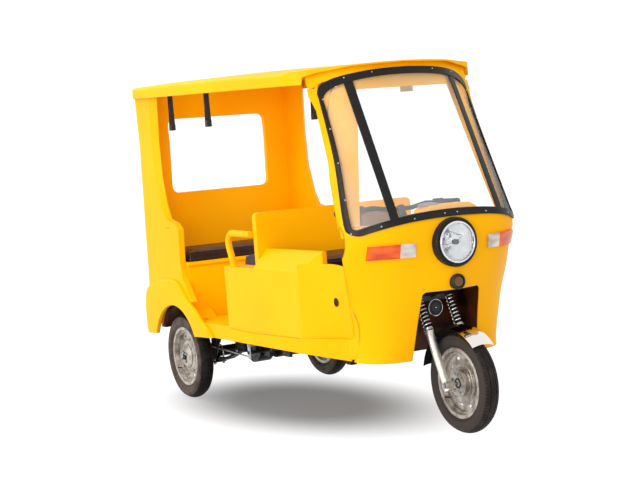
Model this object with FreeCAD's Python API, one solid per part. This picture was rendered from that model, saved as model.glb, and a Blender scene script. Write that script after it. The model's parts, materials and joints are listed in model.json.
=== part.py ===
import FreeCAD, Part
import math
import os

from FreeCAD import Vector

# Three-wheeled passenger auto rickshaw, millimetres, +Z up, standing on z = 0.
# Its front faces -Y and its right side is at -X.
# A "station" is the distance behind the front axle.

os.makedirs("parts", exist_ok=True)

# Overall sizes
LENGTH = 2715.0
WHEELBASE = 2079.0
TRACK = 880.0
FRONT_TYRE_RADIUS = 235.0
REAR_TYRE_RADIUS = 238.0
FRONT_AXLE_Y = FRONT_TYRE_RADIUS - LENGTH / 2
BODY_END = LENGTH - FRONT_TYRE_RADIUS

# Moulded plastic body
SKIN_WALL = 5.0
SEAT_GAP = 0.3
BODY_HALF_WIDTH = 500.0
SILL_BOTTOM = 383.0
FLOOR_TOP = 458.0
FLOOR_THICKNESS = 18.0
FLOOR_START = 350.0
FLOOR_FRONT_HALF = 384.0
TREAD_HALF = 430.0
TREAD_RISE = 3.0

# Front skin below the windscreen: height, then stations of the centre line, the nose
# flank and the shoulder, then the corner and the rear edge as half-width and station
FRONT_SKIN = (
    (335.0, 138.0, 143.0, 149.0, 322.0, 190.0, 366.0, 392.0),
    (430.0, 106.0, 113.0, 125.0, 341.0, 194.0, 381.0, 320.0),
    (550.0, 62.0, 76.0, 103.0, 367.0, 193.0, 403.0, 262.0),
    (680.0, 6.0, 34.0, 78.0, 396.0, 186.0, 436.0, 232.0),
    (800.0, -6.0, 16.0, 54.0, 427.0, 173.0, 462.0, 220.0),
    (900.0, -4.0, 8.0, 36.0, 450.0, 163.0, 471.0, 219.0),
    (1000.0, 0.0, 6.0, 28.0, 456.0, 189.0, 472.0, 236.0),
)
# Top of the windscreen surface, in the same order
SKIN_TOP_SECTION = (1790.0, 364.0, 371.0, 405.0, 396.0, 487.0, 447.0, 504.0)
NOSE_HALF = 122.0
SHOULDER_SHARE = 0.65
SKIN_SAMPLES = 13
LOFT_DEGREE = 3
SHELL_BOTTOM_FRONT = (100.0, 343.0)
SHELL_BOTTOM_REAR = (380.0, 354.0)

# Wheel arch in the front shell
ARCH_TOP = 665.0
ARCH_TOP_HALF = 157.0
ARCH_BOTTOM_HALF = 186.0
ARCH_BOTTOM = 340.0
ARCH_CORNER = 22.0
WELL_REAR = 400.0
WELL_FRONT_HALF = 192.0
WELL_BOTTOM = 345.0
WELL_REAR_HALF = 262.0
WELL_WALL = 4.0

# Windscreen: its outline seen from the front, as half-widths and heights
SCREEN_BOTTOM = ((0.0, 1003.0), (113.0, 1000.0), (271.0, 987.0), (408.0, 955.0), (462.0, 934.0))
SCREEN_SIDE = ((462.0, 934.0), (449.0, 1110.0), (430.0, 1285.0), (420.0, 1460.0), (416.0, 1590.0))
SCREEN_TOP = ((416.0, 1590.0), (405.0, 1636.0), (373.0, 1661.0), (290.0, 1687.0), (150.0, 1704.0), (0.0, 1709.0))
SIDE_SHARE = 0.45
SEAL_WIDTH = 34.0
SHELL_LAP = 13.0
SEAL_PROUD = 7.0
SEAL_DEEP = 12.0
GLASS_THICKNESS = 4.0
BAR_HALF_GAP = 287.0
BAR_WIDTH = 37.0

# Pillars: rear edge as stations and heights, and the inner wall behind the glass as
# heights, then its outer end and inner end as half-width and station
PILLAR_REAR = ((228.0, 980.0), (231.0, 1000.0), (264.0, 1110.0), (291.0, 1200.0), (311.0, 1285.0), (347.0, 1380.0),
               (377.0, 1460.0), (404.0, 1530.0), (446.0, 1610.0), (480.0, 1680.0), (520.0, 1790.0))
PILLAR_RETURN = (
    (985.3, 471.0, 229.0, 382.0, 185.0),
    (1110.0, 463.0, 264.0, 356.0, 216.0),
    (1285.0, 447.0, 311.0, 320.0, 259.0),
    (1460.0, 440.0, 377.0, 284.0, 302.0),
    (1620.0, 452.0, 446.0, 251.0, 341.0),
    (1790.0, 447.0, 504.0, 216.0, 383.0),
)

# Roof
ROOF_HALF_WIDTH = 518.0
ROOF_WALL = 6.0
ROOF_REAR = 2446.0
ROOF_FRONT = 372.0
ROOF_FLANK = 640.0
VISOR_HEIGHT = 1715.0
VISOR_OUT = 26.0
VISOR_END = 470.0
ROOF_EDGE_FRONT = 1653.0
ROOF_EDGE_REAR = 1710.0
ROOF_BAND = 62.0
ROOF_CROWN = 24.0
ROOF_CORNER = 60.0

# Rear body
REAR_WALL_THICKNESS = 32.0
QUARTER_WALL = 34.0
REAR_EDGE = ((2471.0, 627.0), (2459.0, 860.0), (2455.0, 1000.0), (2446.0, 1142.0), (2441.0, 1284.0),
             (2434.0, 1450.0), (2440.0, 1560.0), (2441.0, 1800.0))
REAR_BODY_BOTTOM = 560.0
REAR_CORNER = 28.0
WINDOW_HALF_WIDTH = 315.0
WINDOW_BOTTOM = 1150.0
WINDOW_TOP = 1580.0
WINDOW_CORNER = 40.0
REAR_PILLAR = ((2160.0, 1800.0), (2168.0, 1660.0), (2184.0, 1450.0), (2178.0, 1250.0), (2142.0, 1090.0),
               (2104.0, 1015.0))
PILLAR_SLANT = (78.0, 72.0, 64.0, 58.0, 36.0, 20.0)
ARM_TOP = 990.0
ARM_FRONT = 1966.0
BENCH_FRONT = 1950.0
BENCH_TOP = 774.0
BENCH_LIP = 15.0
BENCH_WALL = 6.0
WHEEL_HOUSE_RADIUS = 296.0
WHEEL_HOUSE_INNER = 350.0

# Mudguards
GUARD_OUT = 522.0
GUARD_ROUND = 12.0
GUARD_EDGE = ((2479.0, 350.0), (2474.0, 560.0), (2440.0, 615.0), (2373.0, 640.0), (2240.0, 668.0), (2118.0, 680.0),
              (2006.0, 657.0), (1950.0, 615.0), (1892.0, 567.0), (1804.0, 520.0), (1729.0, 468.0), (1640.0, 420.0),
              (1600.0, 384.0))

# Side boxes, driver's seat and partition
BOX_FRONT = 600.0
BOX_REAR = 1410.0
BOX_TOP = 776.0
BOX_INNER = 400.0
BLOCK_TOP = 870.0
BLOCK_TOP_HALF = 420.0
NOTCH_STATION = 480.0
PANEL_TOP = 812.0
DECK_TOP = 750.0
PARTITION_FRONT = 1072.0
PARTITION_THICKNESS = 40.0
PARTITION_HALF = 463.0
PARTITION_TOP = 1053.0
CUSHION_TOP = 832.0
REAR_CUSHION_TOP = 842.0
CUSHION_GAP = 1.0
HANDRAIL_HALF = 478.0
RAIL_TUBE = 17.0

# Chassis
RAIL_HALF_GAP = 280.0
RAIL_WIDTH = 40.0
RAIL_BOTTOM = 325.0
RAIL_TOP = 380.0
RAIL_START = 470.0
CROSS_WIDTH = 40.0
JACK_PAD = (50.0, 100.0, 6.0)  # width, length, thickness
JACK_STATION = 1100.0
CROSS_MEMBERS = ((500, 400), (900, 440), (1300, 440), (1700, 440), (2330, 300))  # station, half length
AXLE_TUBE_RADIUS = 30.0
LEAF_THICKNESS = 16.0

# Steering
RAKE = 25.0
STEM_OFFSET = 35.0
LEG_HALF_GAP = 85.0
AXLE_LEAD = 18.0
SLIDER_RADIUS = 19.0
SLIDER_TOP = 478.0
LUG_HALF = 20.0
SLIDER_BOTTOM = 205.0
STANCHION_RADIUS = 14.0
CLAMP_HEIGHT = 632.0
HEAD_BOTTOM = 636.0
HEAD_TOP = 800.0
HEAD_RADIUS = 27.0
STEM_RADIUS = 14.0
STEM_CLEAR = 0.05
BAR_HEIGHT = 1035.0
BAR_RADIUS = 11.0
SPRING_WIRE = 3.0
SPRING_COIL = 23.0
SPRING_SIDES = 6
SPRING_TURNS = 9
FENDER_RADIUS = 262.0
FENDER_HALF_WIDTH = 58.0
FENDER_WALL = 3.0

# Lamps and small pieces
LAMP_HEIGHT = 884.0
LAMP_RADIUS = 114.0
LAMP_FRONT = -30.0
INDICATOR_HEIGHT = 867.0
INDICATOR_TALL = 64.0
INDICATOR_INNER = 200.0
INDICATOR_SPLIT = 273.0
INDICATOR_OUTER = 400.0
INDICATOR_PROUD = 12.0
LENS_BULGE = 16.0
LENS_WALL = 4.0
BOSS_HEIGHT = 702.0
BOSS_RADIUS = 36.0
BOSS_FRONT = -24.0
HORN_OFFSET = 20.0
STRAPS = ((-400.0, 1690.0), (-400.0, 2150.0), (370.0, 1880.0))
STRAP_BOTTOM = 1505.0
STRAP_WIDE = 34.0
DASH_TOP = 985.0
DASH_REAR = 330.0
DASH_GAP = 5.8
BINNACLE = ((-122.0, 975.0), (-104.0, 1036.0), (-74.0, 1056.0), (134.0, 1056.0), (164.0, 1036.0), (182.0, 975.0))
BINNACLE_REAR = 150.0
BACKREST_HALF = 370.0
BACKREST_THICKNESS = 40.0
BACKREST_TOP = 1022.0

# Wheels
TYRE_HALF_WIDTH = 45.0
BEAD_RADIUS = 152.5
FLANGE_RADIUS = 165.0
RIM_HALF_WIDTH = 33.0
RIM_WALL = 4.0
FRONT_AXLE_RADIUS = 7.0
REAR_SHAFT_RADIUS = 16.0
HUB_CLEAR = 0.05
WHEEL_SLOTS = 10
SLOT_RADIUS = 113.0


def pt(x, station, z):
    """Point at a half-width, a station and a height."""
    return Vector(x, FRONT_AXLE_Y + station, z)


def save(name, shape):
    """Write one piece to its STEP file."""
    shape.exportStep("parts/" + name + ".step")


def box(x0, x1, s0, s1, z0, z1):
    """Block between two half-widths, stations and heights."""
    return Part.makeBox(x1 - x0, s1 - s0, z1 - z0, pt(x0, s0, z0))


def rod(start, end, radius):
    """Round bar between two points."""
    return Part.makeCylinder(radius, (end - start).Length, start, end - start)


def face_of(points):
    """Flat face inside a closed polygon."""
    return Part.Face(Part.makePolygon(list(points) + [points[0]]))


def mirrored(shape):
    """The same piece on the other side of the vehicle."""
    return shape.mirror(Vector(0, 0, 0), Vector(1, 0, 0))


def pair(shape):
    """A piece and its mirror image as two solids."""
    return Part.makeCompound([shape, mirrored(shape)])


def front_outline(points, s0, s1):
    """Prism along Y from an outline of half-widths and heights."""
    return face_of([pt(x, s0, z) for x, z in points]).extrude(Vector(0, s1 - s0, 0))


def side_outline(points, x0, x1):
    """Prism along X from an outline of stations and heights."""
    return face_of([pt(x0, s, z) for s, z in points]).extrude(Vector(x1 - x0, 0, 0))


def plan_outline(points, z0, z1):
    """Prism along Z from an outline of half-widths and stations."""
    return face_of([pt(x, s, z0) for x, s in points]).extrude(Vector(0, 0, z1 - z0))


def round_edges(shape, radius, wanted):
    """Fillet the edges that a test picks."""
    edges = [edge for edge in shape.Edges if wanted(edge)]
    return shape.makeFillet(radius, edges)


def runs_along(axis):
    """Test for straight edges along one axis."""
    def wanted(edge):
        if not isinstance(edge.Curve, Part.Line):
            return False
        return edge.Curve.Direction.cross(axis).Length < 1e-6
    return wanted


def plan_curve(section):
    """Curve of the front skin at one height, from right side to left side."""
    z, centre, flank, shoulder, corner_x, corner_s, edge_x, edge_s = section
    half = [(NOSE_HALF, flank), (SHOULDER_SHARE * corner_x, shoulder), (corner_x, corner_s), (edge_x, edge_s)]
    points = [pt(-x, s, z) for x, s in reversed(half)] + [pt(0, centre, z)]
    points += [pt(x, s, z) for x, s in half]
    curve = Part.BSplineCurve()
    curve.interpolate(points)
    return curve


def offset_points(curve, inset):
    """Points along a plan curve, moved inwards."""
    first, last = curve.FirstParameter, curve.LastParameter
    points = []
    for index in range(SKIN_SAMPLES):
        at = first + (last - first) * index / (SKIN_SAMPLES - 1)
        tangent = curve.tangent(at)[0]
        inward = Vector(-tangent.y, tangent.x, 0)
        inward.normalize()
        points.append(curve.value(at) + inward * inset)
    return points


def skin_wire(section, inset, extend):
    """Closed outline of the front skin at one height."""
    points = offset_points(plan_curve(section), inset)
    if extend:
        for end, near in ((0, 1), (-1, -2)):
            away = points[end] - points[near]
            away.normalize()
            points[end] = points[end] + away * extend
    curve = Part.BSplineCurve()
    curve.interpolate(points)
    closing = Part.LineSegment(points[-1], points[0]).toShape()
    return Part.Wire([curve.toShape(), closing])


def skin_solid(inset, extend=0.0):
    """Solid behind the front skin, moved inwards and with its sides made longer."""
    wires = [skin_wire(section, inset, extend) for section in FRONT_SKIN]
    lower = Part.makeLoft(wires, True, False, False, LOFT_DEGREE)
    upper = Part.makeLoft([wires[-1], skin_wire(SKIN_TOP_SECTION, inset, extend)], True, True)
    return lower.fuse(upper)


def screen_curve(points, inset, rise):
    """Curve through outline points of the screen, drawn in by an inset."""
    half = SCREEN_BOTTOM[-1][0]
    share = (half - SIDE_SHARE * inset) / half
    curve = Part.BSplineCurve()
    curve.interpolate([pt(x * share, -400, z + rise * inset) for x, z in points])
    return curve


def both_sides(points):
    """Outline points and their mirror images, from the right side to the left."""
    return [(-x, z) for x, z in reversed(points[1:])] + list(points)


def screen_prism(inset):
    """Prism through the windscreen opening, drawn in by an inset."""
    bottom = screen_curve(both_sides(SCREEN_BOTTOM), inset, 1)
    top = screen_curve(both_sides(SCREEN_TOP[::-1])[::-1], inset, -1)
    reach = (SCREEN_SIDE[-1][1] - SCREEN_SIDE[0][1] - 2 * inset) / (SCREEN_SIDE[-1][1] - SCREEN_SIDE[0][1])
    foot = SCREEN_SIDE[0][1] + inset
    flank = [(x, foot + (z - SCREEN_SIDE[0][1]) * reach) for x, z in SCREEN_SIDE]
    left = screen_curve(flank, inset, 0)
    right = screen_curve([(-x, z) for x, z in reversed(flank)], inset, 0)
    outline = Part.Wire([curve.toShape() for curve in (bottom, left, top, right)])
    prism = Part.Face(outline).extrude(Vector(0, 1000, 0))
    corner = 30.0 if inset < SEAL_WIDTH else 14.0
    along = runs_along(Vector(0, 1, 0))
    return round_edges(prism, corner, lambda edge: along(edge) and edge.BoundBox.ZMax < SCREEN_SIDE[1][1])


def below_shell():
    """Everything under the lower edge of the front shell."""
    s0, z0 = SHELL_BOTTOM_FRONT
    s1, z1 = SHELL_BOTTOM_REAR
    slope = (z1 - z0) / (s1 - s0)
    start, end = -300.0, 700.0
    return side_outline(
        [(start, z0 + slope * (start - s0)), (end, z0 + slope * (end - s0)), (end, 0), (start, 0)],
        -700, 700)


def arch_prism(grow):
    """Prism through the front wheel arch."""
    top = ARCH_TOP + grow
    points = [
        (-ARCH_BOTTOM_HALF - grow, ARCH_BOTTOM - 60),
        (ARCH_BOTTOM_HALF + grow, ARCH_BOTTOM - 60),
        (ARCH_TOP_HALF + grow, top),
        (-ARCH_TOP_HALF - grow, top),
    ]
    prism = front_outline(points, -300, 330)
    upper = [edge for edge in prism.Edges
             if runs_along(Vector(0, 1, 0))(edge) and edge.BoundBox.ZMax > top - 1]
    return prism.makeFillet(ARCH_CORNER, upper)


def front_shell(skin, hollow, ceiling):
    """Cowl and windscreen pillars."""
    shell = skin.cut(hollow)
    shell = shell.cut(screen_prism(SHELL_LAP))
    behind = side_outline(list(PILLAR_REAR) + [(900, 1790), (900, 980)], -700, 700)
    shell = shell.cut(behind)
    inner = pillar_returns().common(skin).cut([behind, seal_zone(SEAT_GAP), screen_prism(SHELL_LAP).common(glass_zone())])
    shell = shell.fuse(inner).removeSplitter()
    shell = shell.cut(below_shell()).cut(ceiling)
    return shell.cut(arch_prism(0))


def pillar_returns():
    """Inner walls of both windscreen pillars and of the header between them."""
    wires = []
    for z, outer_x, outer_s, inner_x, inner_s in PILLAR_RETURN:
        corners = [pt(outer_x, outer_s, z), pt(inner_x, inner_s, z), pt(inner_x, inner_s - SKIN_WALL, z),
                   pt(outer_x, outer_s - SKIN_WALL, z)]
        wires.append(Part.makePolygon(corners + corners[:1]))
    side = Part.makeLoft(wires, True, True)
    low, high = PILLAR_RETURN[-2], PILLAR_RETURN[-1]
    header = side_outline([(low[4] - SKIN_WALL, low[0] - 5), (low[4], low[0] - 5), (high[4], high[0]),
                           (high[4] - SKIN_WALL, high[0])], -low[3] - 6, low[3] + 6)
    return header.fuse([side, mirrored(side)])


def glass_zone():
    """Layer that the glass takes up, with a gap on both sides."""
    return skin_solid(-1).cut(skin_solid(GLASS_THICKNESS + 2, 40.0))


def seal_zone(grow):
    """Band that the windscreen's rubber seal takes up."""
    band = skin_solid(-SEAL_PROUD - grow).cut(skin_solid(SEAL_DEEP + grow, 40.0))
    return band.common(screen_prism(-grow))


def windscreen(shell):
    """Curved glass with its rubber seal and the two black bars."""
    behind = 40.0
    glass_skin = skin_solid(0.5).cut(skin_solid(0.5 + GLASS_THICKNESS, behind))
    glass = glass_skin.common(screen_prism(SEAL_WIDTH - SHELL_LAP + SEAT_GAP))
    slot = skin_solid(0.5 - SEAT_GAP).cut(skin_solid(0.5 + GLASS_THICKNESS + SEAT_GAP, behind))
    ring = seal_zone(0).cut([screen_prism(SEAL_WIDTH), slot.common(screen_prism(SEAL_WIDTH - SHELL_LAP))])
    bar_skin = skin_solid(-SEAL_PROUD + 2).cut(skin_solid(0, behind))
    half = BAR_WIDTH / 2
    bars = []
    for side in (-1, 1):
        strip = box(side * BAR_HALF_GAP - half, side * BAR_HALF_GAP + half, -300, 700, 900, 1700)
        bars.append(bar_skin.common(strip).common(screen_prism(SEAL_WIDTH - 8)))
    seal = ring.fuse(bars).cut(shell)
    return glass, seal


def roof_section(station, inset):
    """Closed outline of the roof at one station."""
    share = (station - ROOF_FRONT) / (ROOF_REAR - ROOF_FRONT)
    share = min(max(share, 0.0), 1.0)
    edge = ROOF_EDGE_FRONT + (ROOF_EDGE_REAR - ROOF_EDGE_FRONT) * share
    top = edge + ROOF_BAND - inset + 8 * math.sin(math.pi * share)
    half = ROOF_HALF_WIDTH - inset
    low = edge - (160 if inset else 0)
    corner = 26.0 - inset
    crown = Part.Arc(pt(-half + corner, station, top), pt(0, station, top + ROOF_CROWN),
                     pt(half - corner, station, top)).toShape()
    turn = corner * (1 - math.sqrt(0.5))
    right = Part.Arc(pt(half - corner, station, top), pt(half - turn, station, top - turn),
                     pt(half, station, top - corner)).toShape()
    left = Part.Arc(pt(-half, station, top - corner), pt(-half + turn, station, top - turn),
                    pt(-half + corner, station, top)).toShape()
    down = Part.LineSegment(pt(half, station, top - corner), pt(half, station, low)).toShape()
    base = Part.LineSegment(pt(half, station, low), pt(-half, station, low)).toShape()
    up = Part.LineSegment(pt(-half, station, low), pt(-half, station, top - corner)).toShape()
    return Part.Wire([left, crown, right, down, base, up])


def skin_section(z):
    """Section of the front skin at a height above its last lower section."""
    low, high = FRONT_SKIN[-1], SKIN_TOP_SECTION
    share = (z - low[0]) / (high[0] - low[0])
    return tuple(a + (b - a) * share for a, b in zip(low, high))


def roof_plan(inset):
    """Prism with the roof's outline from above, its front edge just ahead of the windscreen's head."""
    half = ROOF_HALF_WIDTH + 5 - inset
    base = 1500.0
    head = offset_points(plan_curve(skin_section(VISOR_HEIGHT)), inset - VISOR_OUT)
    flank = [pt(half, ROOF_FLANK, base), pt(half - 10, ROOF_FLANK - 85, base)]
    front = [Vector(-p.x, p.y, base) for p in flank] + [Vector(p.x, p.y, base) for p in head] + flank[::-1]
    bow = Part.BSplineCurve()
    bow.interpolate(front)
    corners = [front[-1], pt(half, ROOF_REAR - inset, base), pt(-half, ROOF_REAR - inset, base), front[0]]
    lines = [Part.LineSegment(a, b).toShape() for a, b in zip(corners, corners[1:])]
    prism = Part.Face(Part.Wire([bow.toShape()] + lines)).extrude(Vector(0, 0, 400))
    rears = [edge for edge in prism.Edges
             if runs_along(Vector(0, 0, 1))(edge) and edge.BoundBox.YMax > FRONT_AXLE_Y + ROOF_REAR - inset - 1]
    return prism.makeFillet(ROOF_CORNER - inset, rears)


def roof_solid(inset):
    """Solid inside the roof's outer form, drawn in by an inset."""
    stations = (60.0, ROOF_FRONT, 900.0, 1400.0, 1900.0, ROOF_REAR)
    return Part.makeLoft([roof_section(s, inset) for s in stations], True, False).common(roof_plan(inset))


def roof_panel():
    """Roof with drooping edges and a thin lip over the windscreen."""
    roof = roof_solid(0).cut(roof_solid(ROOF_WALL))
    lip = both_sides([(0, 1731), (267, 1724), (413, 1704), (465, 1690), (479, 1600)])
    return roof.cut(front_outline(lip, -100, VISOR_END))


def above_ceiling():
    """Everything that the roof takes up, with a seat gap below its ceiling."""
    slab = box(-700, 700, -200, 2700, ROOF_EDGE_FRONT - 20, 2000)
    return slab.cut(roof_solid(ROOF_WALL + SEAT_GAP))


def rear_profile(inset, front):
    """Side profile of the rear body between its front line and its rear edge."""
    edge = Part.BSplineCurve()
    edge.interpolate([pt(0, s - inset, z) for s, z in ((2478.0, REAR_BODY_BOTTOM),) + REAR_EDGE])
    low, high = edge.StartPoint, edge.EndPoint
    front_y = FRONT_AXLE_Y + front
    lines = [
        Part.LineSegment(high, Vector(0, front_y, high.z)),
        Part.LineSegment(Vector(0, front_y, high.z), Vector(0, front_y, low.z)),
        Part.LineSegment(Vector(0, front_y, low.z), low),
    ]
    return Part.Wire([edge.toShape()] + [line.toShape() for line in lines])


def rear_block(inset, front, half):
    """Solid of the rear body."""
    face = Part.Face(rear_profile(inset, front))
    face.translate(Vector(-half, 0, 0))
    return face.extrude(Vector(2 * half, 0, 0))


def quarter_outline(x, slants):
    """Side outline of the quarter panel at a half-width, its pillar moved back by slants."""
    pillar = [(s + slant, z) for (s, z), slant in zip(REAR_PILLAR, slants)]
    points = [(2600, 1800)] + pillar + [
        (2002, ARM_TOP), (ARM_FRONT, 958), (1976, 779), (1957, 690), (1892, 600), (1800, 505),
        (1740, FLOOR_TOP), (1700, SILL_BOTTOM), (2600, SILL_BOTTOM)]
    corners = [pt(x, s, z) for s, z in points]
    return Part.makePolygon(corners + corners[:1])


def rear_body(ceiling):
    """Rear wall and quarter panels, cut from one rounded moulding."""
    outer = rear_block(0, 1600, BODY_HALF_WIDTH)
    corners = [edge for edge in outer.Edges
               if edge.BoundBox.XLength < 1 and edge.BoundBox.ZLength > 900
               and edge.BoundBox.YMax > FRONT_AXLE_Y + 2300]
    outer = outer.makeFillet(REAR_CORNER, corners)
    inner = rear_block(REAR_WALL_THICKNESS, 1500, BODY_HALF_WIDTH - QUARTER_WALL)
    shell = outer.cut(inner).cut(ceiling)
    seam = BODY_HALF_WIDTH - QUARTER_WALL - 12
    wall = shell.common(box(-seam, seam, 2200, 2600, 0, 1800))
    window = box(-WINDOW_HALF_WIDTH, WINDOW_HALF_WIDTH, 2200, 2600, WINDOW_BOTTOM, WINDOW_TOP)
    window = round_edges(window, WINDOW_CORNER, runs_along(Vector(0, 1, 0)))
    wall = wall.cut(window)
    level = [0] * len(REAR_PILLAR)
    outline = Part.makeLoft([quarter_outline(seam, level), quarter_outline(BODY_HALF_WIDTH + 10, PILLAR_SLANT)],
                            True, True)
    quarter = shell.common(outline)
    quarter = quarter.cut(wheel_house(WHEEL_HOUSE_RADIUS))
    return wall, pair(quarter)


def wheel_house(radius, inner=WHEEL_HOUSE_INNER + BENCH_WALL):
    """Round space over a rear wheel."""
    return Part.makeCylinder(radius, 300, pt(inner, WHEELBASE, REAR_TYRE_RADIUS), Vector(1, 0, 0))


def mudguards():
    """Flares round the rear wheel arches."""
    curve = Part.BSplineCurve()
    curve.interpolate([pt(BODY_HALF_WIDTH, s, z) for s, z in GUARD_EDGE])
    base = Part.LineSegment(curve.EndPoint, curve.StartPoint)
    face = Part.Face(Part.Wire([curve.toShape(), base.toShape()]))
    flare = face.extrude(Vector(GUARD_OUT - BODY_HALF_WIDTH, 0, 0))
    flare = round_edges(flare, GUARD_ROUND, lambda edge: edge.BoundBox.XMin > GUARD_OUT - 1
                        and isinstance(edge.Curve, Part.BSplineCurve))
    hole = wheel_house(WHEEL_HOUSE_RADIUS)
    beyond = box(400, 600, BODY_END, BODY_END + 100, 0, 900)
    return pair(flare.cut([hole, beyond]))


def rear_bench_base():
    """Hollow base of the rear bench with the rear wheel houses."""
    half = BODY_HALF_WIDTH - QUARTER_WALL - SEAT_GAP
    rear = 2400.0
    outer = box(-half, half, BENCH_FRONT, rear, SILL_BOTTOM, BENCH_TOP)
    inner = box(-half + BENCH_WALL, half - BENCH_WALL, BENCH_FRONT + BENCH_WALL, rear - BENCH_WALL,
                SILL_BOTTOM - 10, BENCH_TOP - BENCH_WALL)
    base = outer.cut(inner)
    liner = wheel_house(WHEEL_HOUSE_RADIUS + BENCH_WALL, WHEEL_HOUSE_INNER)
    liner = liner.common(box(-half, half, 1700, rear, SILL_BOTTOM, BENCH_TOP))
    lip = box(-half, half, BENCH_FRONT - BENCH_LIP, BENCH_FRONT + 1, BENCH_TOP - 20, BENCH_TOP)
    base = base.fuse([liner, mirrored(liner), lip])
    space = wheel_house(WHEEL_HOUSE_RADIUS)
    base = base.cut(space).cut(mirrored(space))
    behind = rear_block(REAR_WALL_THICKNESS + SEAT_GAP, 1500, 600)
    return base.common(behind.fuse(box(-600, 600, 1500, 2438, 0, 700)))


def floor_tub():
    """Floor pan with turned-down sills, narrower at the front."""
    w = BODY_HALF_WIDTH
    t = SKIN_WALL
    half, start = FLOOR_FRONT_HALF, FLOOR_START
    outline = [(-w, BENCH_FRONT), (-w, BOX_FRONT), (-half, start), (half, start), (w, BOX_FRONT), (w, BENCH_FRONT)]
    inner = [(-w + t, BENCH_FRONT + 20), (-w + t, BOX_FRONT + t), (-half + t, start + t),
             (half - t, start + t), (w - t, BOX_FRONT + t), (w - t, BENCH_FRONT + 20)]
    low = SHELL_BOTTOM_REAR[1]
    tub = plan_outline(outline, low, FLOOR_TOP)
    tub = tub.cut(plan_outline(inner, low - 10, FLOOR_TOP - FLOOR_THICKNESS))
    tub = tub.cut(side_outline([(start - 50, low - 5), (start, low), (BOX_FRONT, SILL_BOTTOM),
                                (2000, SILL_BOTTOM), (2000, low - 5)], -600, 600))
    rear_cut = [(1700, low - 5), (1740, FLOOR_TOP + 5), (2000, FLOOR_TOP + 5), (2000, low - 5)]
    side = side_outline(rear_cut, w - QUARTER_WALL - SEAT_GAP, 600)
    house = wheel_house(WHEEL_HOUSE_RADIUS + BENCH_WALL + SEAT_GAP, WHEEL_HOUSE_INNER - SEAT_GAP)
    openings = [side, mirrored(side), house, mirrored(house), well_space(SEAT_GAP), skin_solid(-SEAT_GAP)]
    tread = box(-TREAD_HALF, TREAD_HALF, BOX_REAR + 20, BENCH_FRONT - 30, FLOOR_TOP - 1, FLOOR_TOP + TREAD_RISE)
    return tub.fuse(tread).cut(openings + neck_tubes(SEAT_GAP))


def well_plan(grow):
    """Plan outline of the front wheel's tunnel."""
    w = WELL_REAR_HALF + grow
    f = WELL_FRONT_HALF + grow
    rear = WELL_REAR + grow
    return [(-w, rear), (-w, 330), (-f, 120), (-f, -50), (f, -50), (f, 120), (w, 330), (w, rear)]


def well_space(grow):
    """Solid block of the tunnel, grown by a gap."""
    return plan_outline(well_plan(grow), WELL_BOTTOM - 5 - grow, ARCH_TOP + 14 + grow)


def wheel_well(hollow):
    """Tunnel for the front wheel, from the arch back to its rear wall."""
    top = ARCH_TOP + 14
    outer = plan_outline(well_plan(0), WELL_BOTTOM, top)
    inner = plan_outline(well_plan(-WELL_WALL), WELL_BOTTOM - 10, top - WELL_WALL)
    well = outer.cut(inner.fuse(box(-WELL_FRONT_HALF + WELL_WALL, WELL_FRONT_HALF - WELL_WALL, -60, 100,
                                    WELL_BOTTOM - 10, top - WELL_WALL)))
    reach = hollow.fuse(box(-600, 600, 230, 700, 0, 900))
    head = rod(axis_point(0, HEAD_BOTTOM - 40), axis_point(0, HEAD_TOP), HEAD_RADIUS + SEAT_GAP)
    return well.common(reach).cut(head)


def side_boxes():
    """Boxes beside the seats, with the panel that runs forward to the front shell."""
    t = SKIN_WALL
    w = BODY_HALF_WIDTH
    low = FLOOR_TOP
    block = front_outline([(BOX_INNER, low), (w, low), (w, BOX_TOP), (BLOCK_TOP_HALF, BLOCK_TOP),
                           (BOX_INNER, BLOCK_TOP)], 300, PARTITION_FRONT - SEAT_GAP)
    block_in = front_outline([(BOX_INNER + t, low - 5), (w - t, low - 5), (w - t, BOX_TOP - t),
                              (BLOCK_TOP_HALF, BLOCK_TOP - 1.6 * t), (BOX_INNER + t, BLOCK_TOP - 1.6 * t)],
                             300, BOX_REAR)
    plan = plan_outline([(BOX_INNER, BOX_REAR), (BOX_INNER, NOTCH_STATION), (425, NOTCH_STATION),
                         (440, 510), (470, 560), (w, BOX_FRONT), (w, BOX_REAR)], 0, 2000)
    plan_in = plan_outline([(BOX_INNER + t, BOX_REAR - t), (BOX_INNER + t, NOTCH_STATION + t),
                            (423, NOTCH_STATION + t), (437, 513), (467, 564), (w - t, BOX_FRONT + 4),
                            (w - t, BOX_REAR - t)], 0, 2000)
    rear = box(BOX_INNER, w, PARTITION_FRONT - SEAT_GAP, BOX_REAR, low, BOX_TOP)
    rear_in = box(BOX_INNER + t, w - t, 300, BOX_REAR - t, low - 5, BOX_TOP - t)
    outer = block.common(plan).fuse(rear)
    inner = block_in.common(plan_in).common(box(0, 600, 0, PARTITION_FRONT - t, 0, 2000))
    result = outer.cut(inner.fuse(rear_in.common(plan_in)))
    return pair(result.fuse(step_panel()))


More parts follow.
